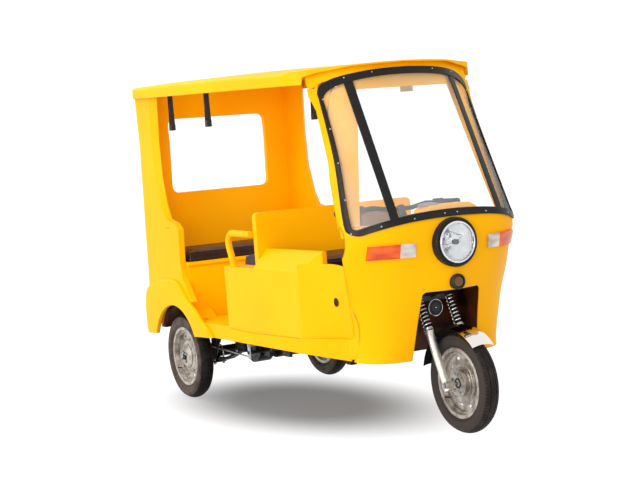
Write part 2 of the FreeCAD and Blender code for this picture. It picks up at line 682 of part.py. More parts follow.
def step_panel():
    """Twisted sheet from the side box's front corner forward to the front shell."""
    foot = [(500, 600), (444, 510), (410, 448), (388, 390), (382, 305)]
    head = [(500, 600), (440, 512), (420, 450), (424, 360), (461, 225)]
    wires = []
    for points, z in ((foot, FLOOR_TOP), (head, PANEL_TOP)):
        outer = Part.BSplineCurve()
        outer.interpolate([pt(x, s, z) for x, s in points])
        inner = Part.BSplineCurve()
        inner.interpolate([pt(x - SKIN_WALL, s, z) for x, s in reversed(points)])
        front = Part.LineSegment(outer.EndPoint, inner.StartPoint)
        rear = Part.LineSegment(inner.EndPoint, outer.StartPoint)
        wires.append(Part.Wire([edge.toShape() for edge in (outer, front, inner, rear)]))
    sheet = Part.makeLoft(wires, True, True)
    hole = Part.makeCylinder(17.5, 300, pt(300, 402, 633), Vector(1, 0, 0))
    return sheet.cut([skin_solid(-SEAT_GAP), hole])


def seat_base():
    """Hollow base of the driver's seat and of the front bench."""
    half = BOX_INNER - SEAT_GAP
    outer = box(-half, half, BOX_FRONT, BOX_REAR, FLOOR_TOP, DECK_TOP)
    t = SKIN_WALL
    inner = box(-half + t, half - t, BOX_FRONT + t, BOX_REAR - t, FLOOR_TOP - 5, DECK_TOP - t)
    return outer.cut(inner)


def partition():
    """Back board between the driver's seat and the front bench."""
    rear = PARTITION_FRONT + PARTITION_THICKNESS
    upper = box(-PARTITION_HALF, PARTITION_HALF, PARTITION_FRONT, rear, BOX_TOP, PARTITION_TOP)
    lower = box(-BOX_INNER + 1, BOX_INNER - 1, PARTITION_FRONT, rear, DECK_TOP, BOX_TOP + 1)
    board = upper.fuse(lower).removeSplitter()
    tops = [edge for edge in board.Edges
            if runs_along(Vector(0, 1, 0))(edge) and edge.BoundBox.ZMax > PARTITION_TOP - 1]
    return board.makeFillet(25, tops)


def cushion(half, s0, s1, z0, z1):
    """Plain rounded seat pad."""
    pad = box(-half, half, s0, s1, z0, z1)
    tops = [edge for edge in pad.Edges if edge.BoundBox.ZMin > z1 - 1]
    return pad.makeFillet(18, tops)


def cushions():
    """Pads of the driver's seat and the two benches."""
    gap = CUSHION_GAP
    driver = cushion(BOX_INNER - 5, BOX_FRONT + 5, PARTITION_FRONT - gap, DECK_TOP, CUSHION_TOP)
    behind = PARTITION_FRONT + PARTITION_THICKNESS + gap
    front = cushion(BOX_INNER - 5, behind, BOX_REAR, DECK_TOP, CUSHION_TOP)
    rear = cushion(BODY_HALF_WIDTH - QUARTER_WALL - 5, BENCH_FRONT - 15, 2390, BENCH_TOP, REAR_CUSHION_TOP)
    return driver, front, rear


def backrests():
    """Upright pads on both faces of the partition."""
    pads = []
    for face, way in ((PARTITION_FRONT - SEAT_GAP, -1), (PARTITION_FRONT + PARTITION_THICKNESS + SEAT_GAP, 1)):
        front = face + way * BACKREST_THICKNESS
        pad = box(-BACKREST_HALF, BACKREST_HALF, min(face, front), max(face, front), CUSHION_TOP + 3, BACKREST_TOP)
        away = FRONT_AXLE_Y + front
        pads.append(round_edges(pad, 14, lambda edge: abs(edge.BoundBox.YMin - away) < 1
                                and abs(edge.BoundBox.YMax - away) < 1))
    return pads


def bent_tube(points, radius, bend):
    """Round tube through points with rounded bends."""
    edges = []
    start = points[0]
    for index in range(1, len(points) - 1):
        here = points[index]
        back = (start - here).normalize()
        ahead = (points[index + 1] - here).normalize()
        half_angle = back.getAngle(ahead) / 2
        reach = bend / math.tan(half_angle)
        enter = here + back * reach
        leave = here + ahead * reach
        middle_way = (back + ahead).normalize()
        middle = here + middle_way * (bend / math.sin(half_angle) - bend)
        edges.append(Part.LineSegment(start, enter).toShape())
        edges.append(Part.Arc(enter, middle, leave).toShape())
        start = leave
    edges.append(Part.LineSegment(start, points[-1]).toShape())
    path = Part.Wire(edges)
    profile = Part.Wire(Part.makeCircle(radius, points[0], points[1] - points[0]))
    return path.makePipeShell([profile], True, True)


def handrails():
    """Yellow tubes from the partition down to the side boxes."""
    x = HANDRAIL_HALF
    rail = bent_tube([pt(x, PARTITION_FRONT + PARTITION_THICKNESS + SEAT_GAP, 945), pt(x, 1405, 950),
                      pt(x, 1320, BOX_TOP - 25)], RAIL_TUBE, 55)
    return pair(rail.cut(box(300, 600, 1000, 1500, 600, BOX_TOP + SEAT_GAP)))


def axis_point(offset, height, x=0.0):
    """Point on a line along the steering rake, an offset ahead of the stem axis."""
    slope = math.tan(math.radians(RAKE))
    cos = math.cos(math.radians(RAKE))
    station = (AXLE_LEAD + STEM_OFFSET - offset) / cos + slope * (height - FRONT_TYRE_RADIUS)
    return pt(x, station, height)


def steering_axis():
    """Unit vector up the steering axis."""
    angle = math.radians(RAKE)
    return Vector(0, math.sin(angle), math.cos(angle))


def fork_clamp(grow):
    """Plate that joins the fork's legs to its stem."""
    clamp = Part.makeBox(2 * LEG_HALF_GAP + 50, 84, 22 + 2 * grow, Vector(-LEG_HALF_GAP - 25, -24, -11 - grow))
    clamp = round_edges(clamp, 20, runs_along(Vector(0, 0, 1)))
    clamp.rotate(Vector(0, 0, 0), Vector(1, 0, 0), -RAKE)
    clamp.translate(axis_point(STEM_OFFSET, CLAMP_HEIGHT))
    return clamp


def fork():
    """Telescopic fork: sliders, inner tubes, clamp and stem."""
    parts = []
    for side in (-1, 1):
        x = side * LEG_HALF_GAP
        low = axis_point(STEM_OFFSET, SLIDER_BOTTOM, x)
        mid = axis_point(STEM_OFFSET, SLIDER_TOP, x)
        top = axis_point(STEM_OFFSET, CLAMP_HEIGHT, x)
        parts.append(rod(low, mid, SLIDER_RADIUS))
        parts.append(rod(mid, top, STANCHION_RADIUS))
        lug = pt(x, 0, FRONT_TYRE_RADIUS)
        parts.append(Part.makeCylinder(17, 2 * LUG_HALF, lug - Vector(LUG_HALF, 0, 0), Vector(1, 0, 0)))
    parts.append(fork_clamp(0))
    stem_top = axis_point(0, BAR_HEIGHT - 40)
    parts.append(rod(axis_point(0, CLAMP_HEIGHT - 18), stem_top, STEM_RADIUS))
    whole = parts[0].fuse(parts[1:])
    bore = Part.makeCylinder(FRONT_AXLE_RADIUS, 400, pt(-200, 0, FRONT_TYRE_RADIUS), Vector(1, 0, 0))
    return whole.cut(bore)


def fork_springs():
    """Coil springs round the inner tubes."""
    up = steering_axis()
    springs = []
    start_height = SLIDER_TOP + 6
    end_height = CLAMP_HEIGHT - 16
    length = (end_height - start_height) / up.z
    pitch = length / SPRING_TURNS
    helix = Part.makeLongHelix(pitch, length, SPRING_COIL - SPRING_WIRE)
    path = Part.Wire(helix.Edges)
    corners = []
    for index in range(SPRING_SIDES + 1):
        turn = 2 * math.pi * index / SPRING_SIDES
        corners.append(Vector(SPRING_COIL - SPRING_WIRE + SPRING_WIRE * math.cos(turn), 0, SPRING_WIRE * math.sin(turn)))
    profile = Part.makePolygon(corners)
    coil = path.makePipeShell([profile], True, True)
    for side in (-1, 1):
        one = coil.copy()
        one.rotate(Vector(0, 0, 0), Vector(1, 0, 0), -RAKE)
        one.translate(axis_point(STEM_OFFSET, start_height, side * LEG_HALF_GAP))
        springs.append(one)
    return Part.makeCompound(springs)


def handlebar():
    """Handlebar with its clamp."""
    grip = axis_point(0, BAR_HEIGHT)
    points = []
    for x, back, rise in ((-350, 20, 5), (-150, 10, 15), (-60, 0, 0), (60, 0, 0), (150, 10, 15), (350, 20, 5)):
        points.append(grip + Vector(x, back, rise))
    bar = bent_tube(points, BAR_RADIUS, 30)
    clamp = rod(axis_point(0, BAR_HEIGHT - 40 + SEAT_GAP), axis_point(0, BAR_HEIGHT + 12), 20)
    return bar.fuse(clamp)


def front_fender():
    """Short mudguard over the front wheel, held by two stays."""
    r = FENDER_RADIUS
    h = FENDER_HALF_WIDTH
    w = FENDER_WALL
    section = Part.Wire([
        Part.Arc(Vector(-h, 0, r - 10), Vector(0, 0, r + 6), Vector(h, 0, r - 10)).toShape(),
        Part.LineSegment(Vector(h, 0, r - 10), Vector(h, 0, r - 10 - w)).toShape(),
        Part.Arc(Vector(h, 0, r - 10 - w), Vector(0, 0, r + 6 - w), Vector(-h, 0, r - 10 - w)).toShape(),
        Part.LineSegment(Vector(-h, 0, r - 10 - w), Vector(-h, 0, r - 10)).toShape(),
    ])
    face = Part.Face(section)
    face.rotate(Vector(0, 0, 0), Vector(1, 0, 0), 44)
    guard = face.revolve(Vector(0, 0, 0), Vector(1, 0, 0), -120)
    guard.translate(pt(0, 0, FRONT_TYRE_RADIUS))
    side = LEG_HALF_GAP - SLIDER_RADIUS - SEAT_GAP
    seat = axis_point(STEM_OFFSET, SLIDER_TOP - 20)
    tab = Part.makeBox(side - h + 8, 34, 14, Vector(h - 8, seat.y - 17, seat.z - 12))
    return guard.fuse([tab, mirrored(tab)])


def front_axle():
    """Front wheel spindle with its nuts."""
    half = LEG_HALF_GAP + LUG_HALF + 14
    bar = Part.makeCylinder(FRONT_AXLE_RADIUS - HUB_CLEAR, 2 * half, pt(-half, 0, FRONT_TYRE_RADIUS), Vector(1, 0, 0))
    nut = Part.makeCylinder(13, 10, pt(LEG_HALF_GAP + LUG_HALF + SEAT_GAP, 0, FRONT_TYRE_RADIUS), Vector(1, 0, 0))
    return bar.fuse([nut, mirrored(nut)])


def tyre(radius):
    """Tyre ring about the X axis, seated between the rim's flanges."""
    w = TYRE_HALF_WIDTH
    seat = RIM_HALF_WIDTH - RIM_WALL - SEAT_GAP
    inner = BEAD_RADIUS + SEAT_GAP
    lip = FLANGE_RADIUS + 2
    crown = radius - 5
    outer = Part.BSplineCurve()
    outer.interpolate([Vector(-seat, 0, lip), Vector(-w + 5, 0, lip + 9), Vector(-w, 0, lip + 26),
                       Vector(-w + 8, 0, crown - 10), Vector(-w + 22, 0, crown), Vector(0, 0, radius),
                       Vector(w - 22, 0, crown), Vector(w - 8, 0, crown - 10), Vector(w, 0, lip + 26),
                       Vector(w - 5, 0, lip + 9), Vector(seat, 0, lip)])
    corners = [Vector(seat, 0, lip), Vector(seat, 0, inner), Vector(-seat, 0, inner), Vector(-seat, 0, lip)]
    edges = [outer.toShape()] + [Part.LineSegment(a, b).toShape() for a, b in zip(corners, corners[1:])]
    face = Part.Face(Part.Wire(edges))
    return face.revolve(Vector(0, 0, 0), Vector(1, 0, 0), 360)


def rim_profile():
    """Rim outline about the X axis."""
    h = RIM_HALF_WIDTH
    w = RIM_WALL
    b = BEAD_RADIUS
    f = FLANGE_RADIUS
    return [(-h, f), (-h + w, f), (-h + w, b), (-12, b), (-12, b - 14), (12, b - 14), (12, b), (h - w, b),
            (h - w, f), (h, f), (h, b - w), (16, b - w), (16, b - 18), (-16, b - 18), (-16, b - w), (-h, b - w)]


def revolve_x(outline):
    """Solid of revolution about X from an outline of widths and radii."""
    face = face_of([Vector(x, 0, r) for x, r in outline])
    return face.revolve(Vector(0, 0, 0), Vector(1, 0, 0), 360)


def wheel(bore, drum_radius, drum_half, dish):
    """Pressed steel wheel with its hub, its outer side towards +X."""
    rim = revolve_x(rim_profile())
    disc = revolve_x([(dish - 2, bore), (dish - 2, 70), (2, 100), (-2, BEAD_RADIUS - 17), (2, BEAD_RADIUS - 17),
                      (6, 102), (dish + 3, 73), (dish + 3, bore)])
    drum = revolve_x([(-drum_half, bore), (-drum_half, drum_radius), (drum_half - 12, drum_radius),
                      (drum_half, drum_radius - 22), (drum_half, bore)])
    slots = []
    for index in range(WHEEL_SLOTS):
        slot = Part.makeBox(80, 24, 12, Vector(-30, -12, SLOT_RADIUS - 6))
        slot = round_edges(slot, 5.5, runs_along(Vector(1, 0, 0)))
        slot.rotate(Vector(0, 0, 0), Vector(1, 0, 0), 360 * (index + 0.5) / WHEEL_SLOTS)
        slots.append(slot)
    return rim.fuse([disc, drum]).removeSplitter().cut(slots)


def placed(shape, x, station, height):
    """Copy of a wheel piece at its axle."""
    copy = shape.copy()
    copy.translate(pt(x, station, height))
    return copy


def neck_tubes(grow):
    """Two bent tubes from the first cross member up to the head tube."""
    tubes = []
    for side in (-1, 1):
        x = side * 70
        route = [pt(x, 500, RAIL_TOP + 10), pt(x, 440, 705), pt(x * 0.3, 315, 740)]
        tubes.append(bent_tube(route, 17 + grow, 60))
    return tubes


def ladder_chassis():
    """Ladder frame, neck and head tube."""
    parts = []
    for side in (-1, 1):
        x = side * RAIL_HALF_GAP
        parts.append(box(x - RAIL_WIDTH / 2, x + RAIL_WIDTH / 2, RAIL_START, 2400, RAIL_BOTTOM, RAIL_TOP))
        wide, long, thick = JACK_PAD
        parts.append(box(x - wide / 2, x + wide / 2, JACK_STATION - long / 2, JACK_STATION + long / 2,
                         RAIL_BOTTOM - thick, RAIL_BOTTOM))
    underside = FLOOR_TOP - FLOOR_THICKNESS
    for station, reach in CROSS_MEMBERS:
        parts.append(box(-reach, reach, station - CROSS_WIDTH / 2, station + CROSS_WIDTH / 2, RAIL_TOP - 10, underside))
    parts += neck_tubes(0)
    head = rod(axis_point(0, HEAD_BOTTOM), axis_point(0, HEAD_TOP), HEAD_RADIUS)
    parts.append(head)
    whole = parts[0].fuse(parts[1:])
    bore = rod(axis_point(0, HEAD_BOTTOM - 60), axis_point(0, HEAD_TOP + 60), STEM_RADIUS + STEM_CLEAR)
    return whole.cut(bore)


def leaf_springs():
    """Leaf springs below the rear axle."""
    springs = []
    low = REAR_TYRE_RADIUS - AXLE_TUBE_RADIUS - SEAT_GAP - LEAF_THICKNESS
    end = 272.0
    span = 340.0
    outer = Part.Arc(pt(0, WHEELBASE - span, end), pt(0, WHEELBASE, low), pt(0, WHEELBASE + span, end))
    inner = Part.Arc(pt(0, WHEELBASE + span, end + 10), pt(0, WHEELBASE, low + LEAF_THICKNESS), pt(0, WHEELBASE - span, end + 10))
    ends = [Part.LineSegment(outer.EndPoint, inner.StartPoint), Part.LineSegment(inner.EndPoint, outer.StartPoint)]
    face = Part.Face(Part.Wire([outer.toShape(), ends[0].toShape(), inner.toShape(), ends[1].toShape()]))
    for side in (-1, 1):
        leaf = face.copy()
        leaf.translate(Vector(side * RAIL_HALF_GAP - 22, 0, 0))
        leaf = leaf.extrude(Vector(44, 0, 0))
        eyes = []
        for station in (WHEELBASE - span, WHEELBASE + span):
            eyes.append(box(side * RAIL_HALF_GAP - 20, side * RAIL_HALF_GAP + 20, station - 15, station + 15,
                            end, RAIL_BOTTOM))
        springs.append(leaf.fuse(eyes))
    return Part.makeCompound(springs)


def rear_axle():
    """Rear axle tube with its differential and motor."""
    centre = pt(0, WHEELBASE, REAR_TYRE_RADIUS)
    half = 360.0
    tube = Part.makeCylinder(AXLE_TUBE_RADIUS, 2 * half, centre - Vector(half, 0, 0), Vector(1, 0, 0))
    bowl = Part.makeCylinder(95, 90, centre - Vector(45, 0, 0), Vector(1, 0, 0))
    motor = Part.makeCylinder(82, 230, centre + Vector(20, -150, 20), Vector(1, 0, 0))
    case = Part.makeBox(60, 200, 120, centre + Vector(-30, -180, -50))
    shaft = Part.makeCylinder(REAR_SHAFT_RADIUS, 2 * (TRACK / 2 + 20), centre - Vector(TRACK / 2 + 20, 0, 0),
                              Vector(1, 0, 0))
    return tube.fuse([bowl, motor, case, shaft])


def revolve_y(outline, station, z):
    """Solid of revolution about a fore-and-aft axis, from stations and radii."""
    face = face_of([pt(r, s, z) for s, r in outline])
    return face.revolve(pt(0, station, z), Vector(0, 1, 0), 360)


def headlamp(skin):
    """Round headlamp: black surround, chrome ring with its reflector, and clear lens."""
    r, f, z = LAMP_RADIUS, LAMP_FRONT, LAMP_HEIGHT
    surround = revolve_y([(f + 4, r - 18), (f, r - 14), (f, r - 5), (f + 6, r), (f + 60, r), (f + 60, r - 18)], f, z)
    surround = surround.cut([skin, seal_zone(SEAT_GAP)])
    bore = r - 18 - SEAT_GAP
    ring = revolve_y([(f - 6, bore - 8), (f - 6, bore - 3), (f, bore), (f + 12, bore), (f + 40, 45), (f + 55, 16),
                      (f + 55, 0), (f + 53, 0), (f + 53, 15), (f + 38, 43), (f + 10, bore - 3), (f + 10, bore - 8)],
                     f, z)
    rim = bore - 8 - SEAT_GAP
    bulge = LENS_BULGE
    ball = (rim * rim + bulge * bulge) / (2 * bulge)
    middle = pt(0, f - bulge + ball, z)
    lens = Part.makeSphere(ball, middle).cut(Part.makeSphere(ball - LENS_WALL, middle))
    lens = lens.common(Part.makeCylinder(rim, 60, pt(0, f - 30, z), Vector(0, 1, 0)))
    hole = Part.makeCylinder(r - 18, 120, pt(0, f - 20, z), Vector(0, 1, 0))
    return surround, ring, lens, hole


def indicators(skin):
    """Front turn lamps: amber outer lens and clear inner lens on each side."""
    proud = skin_solid(-INDICATOR_PROUD).cut(skin)
    low = INDICATOR_HEIGHT - INDICATOR_TALL / 2
    high = INDICATOR_HEIGHT + INDICATOR_TALL / 2
    amber = proud.common(box(INDICATOR_SPLIT, INDICATOR_OUTER, -100, 400, low, high))
    clear = proud.common(box(INDICATOR_INNER, INDICATOR_SPLIT, -100, 400, low, high))
    return pair(amber), pair(clear)


def front_boss(skin):
    """Round lock boss below the headlamp."""
    r = BOSS_RADIUS
    s = BOSS_FRONT
    boss = revolve_y([(s + 5, 0), (s + 5, r - 9), (s, r - 7), (s, r - 3), (s + 4, r), (s + 60, r), (s + 60, 0)],
                     s, BOSS_HEIGHT)
    return boss.cut(skin)


def disc_horn():
    """Round horn with its bracket under the fork clamp."""
    s, z = 186.0, 570.0
    horn = revolve_y([(s, 0), (s, 26), (s + 2, 36), (s + 8, 39), (s + 14, 39), (s + 26, 20), (s + 26, 0)], s, z)
    up = axis_point(HORN_OFFSET, CLAMP_HEIGHT - 11.4)
    strap = box(-12, 12, s + 14, s + 18, z, up.z)
    clamp_under = fork_clamp(SEAT_GAP)
    return horn.fuse(strap).cut(clamp_under)


def tail_lamps():
    """Rear lamps on the lower corners of the rear wall."""
    lamp = box(340, 440, 2380, BODY_END - 1, 700, 760)
    lamp = round_edges(lamp, 10, runs_along(Vector(0, 1, 0)))
    return pair(lamp.cut(rear_block(0, 1500, 600)))


def strap_loop(x, station, top):
    """Hanging loop of webbing."""
    low = STRAP_BOTTOM
    r = STRAP_WIDE / 2
    outer = box(x - 12, x + 12, station - r, station + r, low, top)
    inner = box(x - 13, x + 13, station - r + 3, station + r - 3, low + 3, top - 3)
    across = runs_along(Vector(1, 0, 0))
    return round_edges(outer, r - 1, across).cut(round_edges(inner, r - 4, across))


def grab_straps(ceiling):
    """Black webbing loops under the roof."""
    loops = []
    for x, station in STRAPS:
        loops.append(strap_loop(x, station, 1900).cut(ceiling))
    return Part.makeCompound(loops)


def dashboard():
    """Shelf behind the windscreen with a raised binnacle."""
    outer = skin_solid(SKIN_WALL + DASH_GAP)
    shelf = box(-470, 470, -60, DASH_REAR, DASH_TOP - 45, DASH_TOP)
    raised = front_outline(list(BINNACLE), -60, BINNACLE_REAR)
    middle = (BINNACLE[0][0] + BINNACLE[-1][0]) / 2
    centre = pt(middle, 0, DASH_TOP)
    lower = raised.copy()
    lower.scale(0.94, centre)
    inside = box(-470, 470, -60, DASH_REAR - 6, DASH_TOP - 60, DASH_TOP - 6).fuse(lower)
    board = outer.common(shelf.fuse(raised)).cut(skin_solid(SKIN_WALL + DASH_GAP + 6).common(inside))
    lamp = Part.makeCylinder(LAMP_RADIUS - 12, 120, pt(0, LAMP_FRONT, LAMP_HEIGHT), Vector(0, 1, 0))
    return board.cut([seal_zone(SEAT_GAP), lamp])


def battery_block():
    """Batteries below the seats as one plain block."""
    return box(-300, 300, BOX_FRONT + 60, BOX_REAR - 60, FLOOR_TOP, 690)


def brake_rods():
    """Brake rods along both sides with their levers."""
    x = TRACK / 2 - 60
    s0, s1 = 1440.0, 2010.0
    height = RAIL_BOTTOM + 12
    bar = rod(pt(x, s0, 277), pt(x, s1, 300), 4)
    rail = RAIL_HALF_GAP + RAIL_WIDTH / 2
    pivot = rod(pt(rail, s0, height), pt(x + 6, s0, height), 8)
    lever = box(x - 4, x + 4, s0 - 9, s0 + 9, 265, height + 10)
    return pair(bar.fuse([pivot, lever]))


def build():
    """Make every piece and write it."""
    skin = skin_solid(0)
    hollow = skin_solid(SKIN_WALL, 60)
    surround, ring, lens, lamp_hole = headlamp(skin)
    save("headlamp_surround", surround)
    save("headlamp_ring", ring)
    save("headlamp_lens", lens)
    ceiling = above_ceiling()
    shell = front_shell(skin, hollow, ceiling).cut(lamp_hole)
    save("front_shell", shell)
    amber, clear = indicators(skin)
    save("indicators_amber", amber)
    save("indicators_clear", clear)
    save("front_boss", front_boss(skin))
    save("disc_horn", disc_horn())
    save("tail_lamps", tail_lamps())
    save("dashboard", dashboard())
    save("battery_block", battery_block())
    save("brake_rods", brake_rods())
    glass, seal = windscreen(shell)
    save("windscreen_glass", glass)
    save("windscreen_seal", seal)
    save("roof_panel", roof_panel())
    save("grab_straps", grab_straps(ceiling))
    wall, quarters = rear_body(ceiling)
    save("rear_wall", wall)
    save("quarter_panels", quarters)
    save("mudguards", mudguards())
    save("rear_bench_base", rear_bench_base())
    save("floor_tub", floor_tub())
    save("wheel_well", wheel_well(hollow))
    save("side_boxes", side_boxes())
    save("seat_base", seat_base())
    save("partition", partition())
    driver, front, rear = cushions()
    save("driver_cushion", driver)
    save("front_bench_cushion", front)
    save("rear_bench_cushion", rear)
    driver_back, front_back = backrests()
    save("driver_backrest", driver_back)
    save("front_bench_backrest", front_back)
    save("handrails", handrails())
    save("fork", fork())
    save("fork_springs", fork_springs())
    save("handlebar", handlebar())
    save("front_fender", front_fender())
    save("front_axle", front_axle())
    save("chassis_frame", ladder_chassis())
    save("leaf_springs", leaf_springs())
    save("rear_axle", rear_axle())
    front_wheel = wheel(FRONT_AXLE_RADIUS + HUB_CLEAR, 62, 34, 14)
    save("front_wheel", placed(front_wheel, 0, 0, FRONT_TYRE_RADIUS))
    save("front_tyre", placed(tyre(FRONT_TYRE_RADIUS), 0, 0, FRONT_TYRE_RADIUS))
    rear_wheel = wheel(REAR_SHAFT_RADIUS + HUB_CLEAR, 68, 34, 14)
    left = placed(rear_wheel, TRACK / 2, WHEELBASE, REAR_TYRE_RADIUS)
    save("rear_wheel_left", left)
    save("rear_wheel_right", mirrored(left))
    ring = placed(tyre(REAR_TYRE_RADIUS), TRACK / 2, WHEELBASE, REAR_TYRE_RADIUS)
    save("rear_tyre_left", ring)
    save("rear_tyre_right", mirrored(ring))


build()
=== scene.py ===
"""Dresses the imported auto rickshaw: gelcoat body, padded seats, wheels, fork and lamps.

The vehicle faces -Y, its right side is at -X and it stands on z = 0. Lengths are in metres
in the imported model's frame, but in millimetres where a name or a note says so, and in at().
"""

import json
import logging
import math
from abc import ABC, abstractmethod
from dataclasses import dataclass
from enum import Enum
from typing import Sequence

import bmesh
import bpy
import numpy as np
from bpy.types import Material, Mesh, Node, NodeSocket, NodeTree, Object
from mathutils import Matrix, Vector
from mathutils.bvhtree import BVHTree

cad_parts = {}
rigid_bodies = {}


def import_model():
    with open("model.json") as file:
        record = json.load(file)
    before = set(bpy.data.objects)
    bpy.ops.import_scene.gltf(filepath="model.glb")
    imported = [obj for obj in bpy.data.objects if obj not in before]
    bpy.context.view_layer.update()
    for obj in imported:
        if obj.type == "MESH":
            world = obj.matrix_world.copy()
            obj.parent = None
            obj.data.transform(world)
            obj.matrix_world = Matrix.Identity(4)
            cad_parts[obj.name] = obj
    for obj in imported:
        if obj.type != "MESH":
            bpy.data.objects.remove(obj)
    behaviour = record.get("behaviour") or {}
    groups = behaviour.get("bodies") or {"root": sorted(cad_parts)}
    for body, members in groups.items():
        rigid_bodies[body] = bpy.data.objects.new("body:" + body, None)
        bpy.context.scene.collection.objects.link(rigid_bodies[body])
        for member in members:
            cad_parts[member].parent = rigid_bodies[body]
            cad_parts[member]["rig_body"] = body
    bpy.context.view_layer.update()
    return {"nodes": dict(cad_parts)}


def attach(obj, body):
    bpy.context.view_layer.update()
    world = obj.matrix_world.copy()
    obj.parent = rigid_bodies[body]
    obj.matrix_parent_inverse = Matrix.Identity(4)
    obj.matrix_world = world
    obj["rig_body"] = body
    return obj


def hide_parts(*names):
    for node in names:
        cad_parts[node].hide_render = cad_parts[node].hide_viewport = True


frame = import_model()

MM = 0.001
FRONT_AXLE_Y = -1.1225
FRONT_RADIUS, REAR_RADIUS = 235.0, 238.0  # outer radii of the tyres, in millimetres
REAR_STATION, REAR_X = 2079.0, 440.0  # the rear wheels' centres, in millimetres
FRONT_AXLE = (FRONT_AXLE_Y, FRONT_RADIUS * MM)
REAR_AXLE = (FRONT_AXLE_Y + REAR_STATION * MM, REAR_RADIUS * MM)
RAKE = math.radians(25)
CLOTH_FRAMES = 20
SIDES = ((-1, "right"), (1, "left"))
FORWARD, BACK, UP, ACROSS = (Vector(way) for way in ((0, -1, 0), (0, 1, 0), (0, 0, 1), (1, 0, 0)))

log = logging.getLogger("rickshaw")


# Colours and shader trees


def srgb(code: str) -> tuple[float, float, float, float]:
    """Turn a written colour into Blender's linear values.

    Args:
        code: an sRGB colour such as "#ffcc00".

    Returns:
        Linear red, green, blue and an alpha of one.
    """
    parts = [int(code[i:i + 2], 16) / 255 for i in (1, 3, 5)]
    linear = [c / 12.92 if c <= 0.04045 else ((c + 0.055) / 1.055) ** 2.4 for c in parts]
    return (linear[0], linear[1], linear[2], 1.0)


def add_node(tree: NodeTree, kind: str, settings: dict | None = None,
             links: dict | None = None) -> Node:
    """Add one node with its settings and the links into it.

    Args:
        tree: the tree that gets the node.
        kind: the node's Blender type.
        settings: property names, or socket names or numbers, with their values.
        links: socket names or numbers, each with the socket that feeds it.

    Returns:
        The new node.
    """
    node = tree.nodes.new(kind)
    for key, value in (settings or {}).items():
        if isinstance(key, str) and hasattr(node, key):
            setattr(node, key, value)
        else:
            node.inputs[key].default_value = value
    for key, source in (links or {}).items():
        tree.links.new(source, node.inputs[key])
    return node


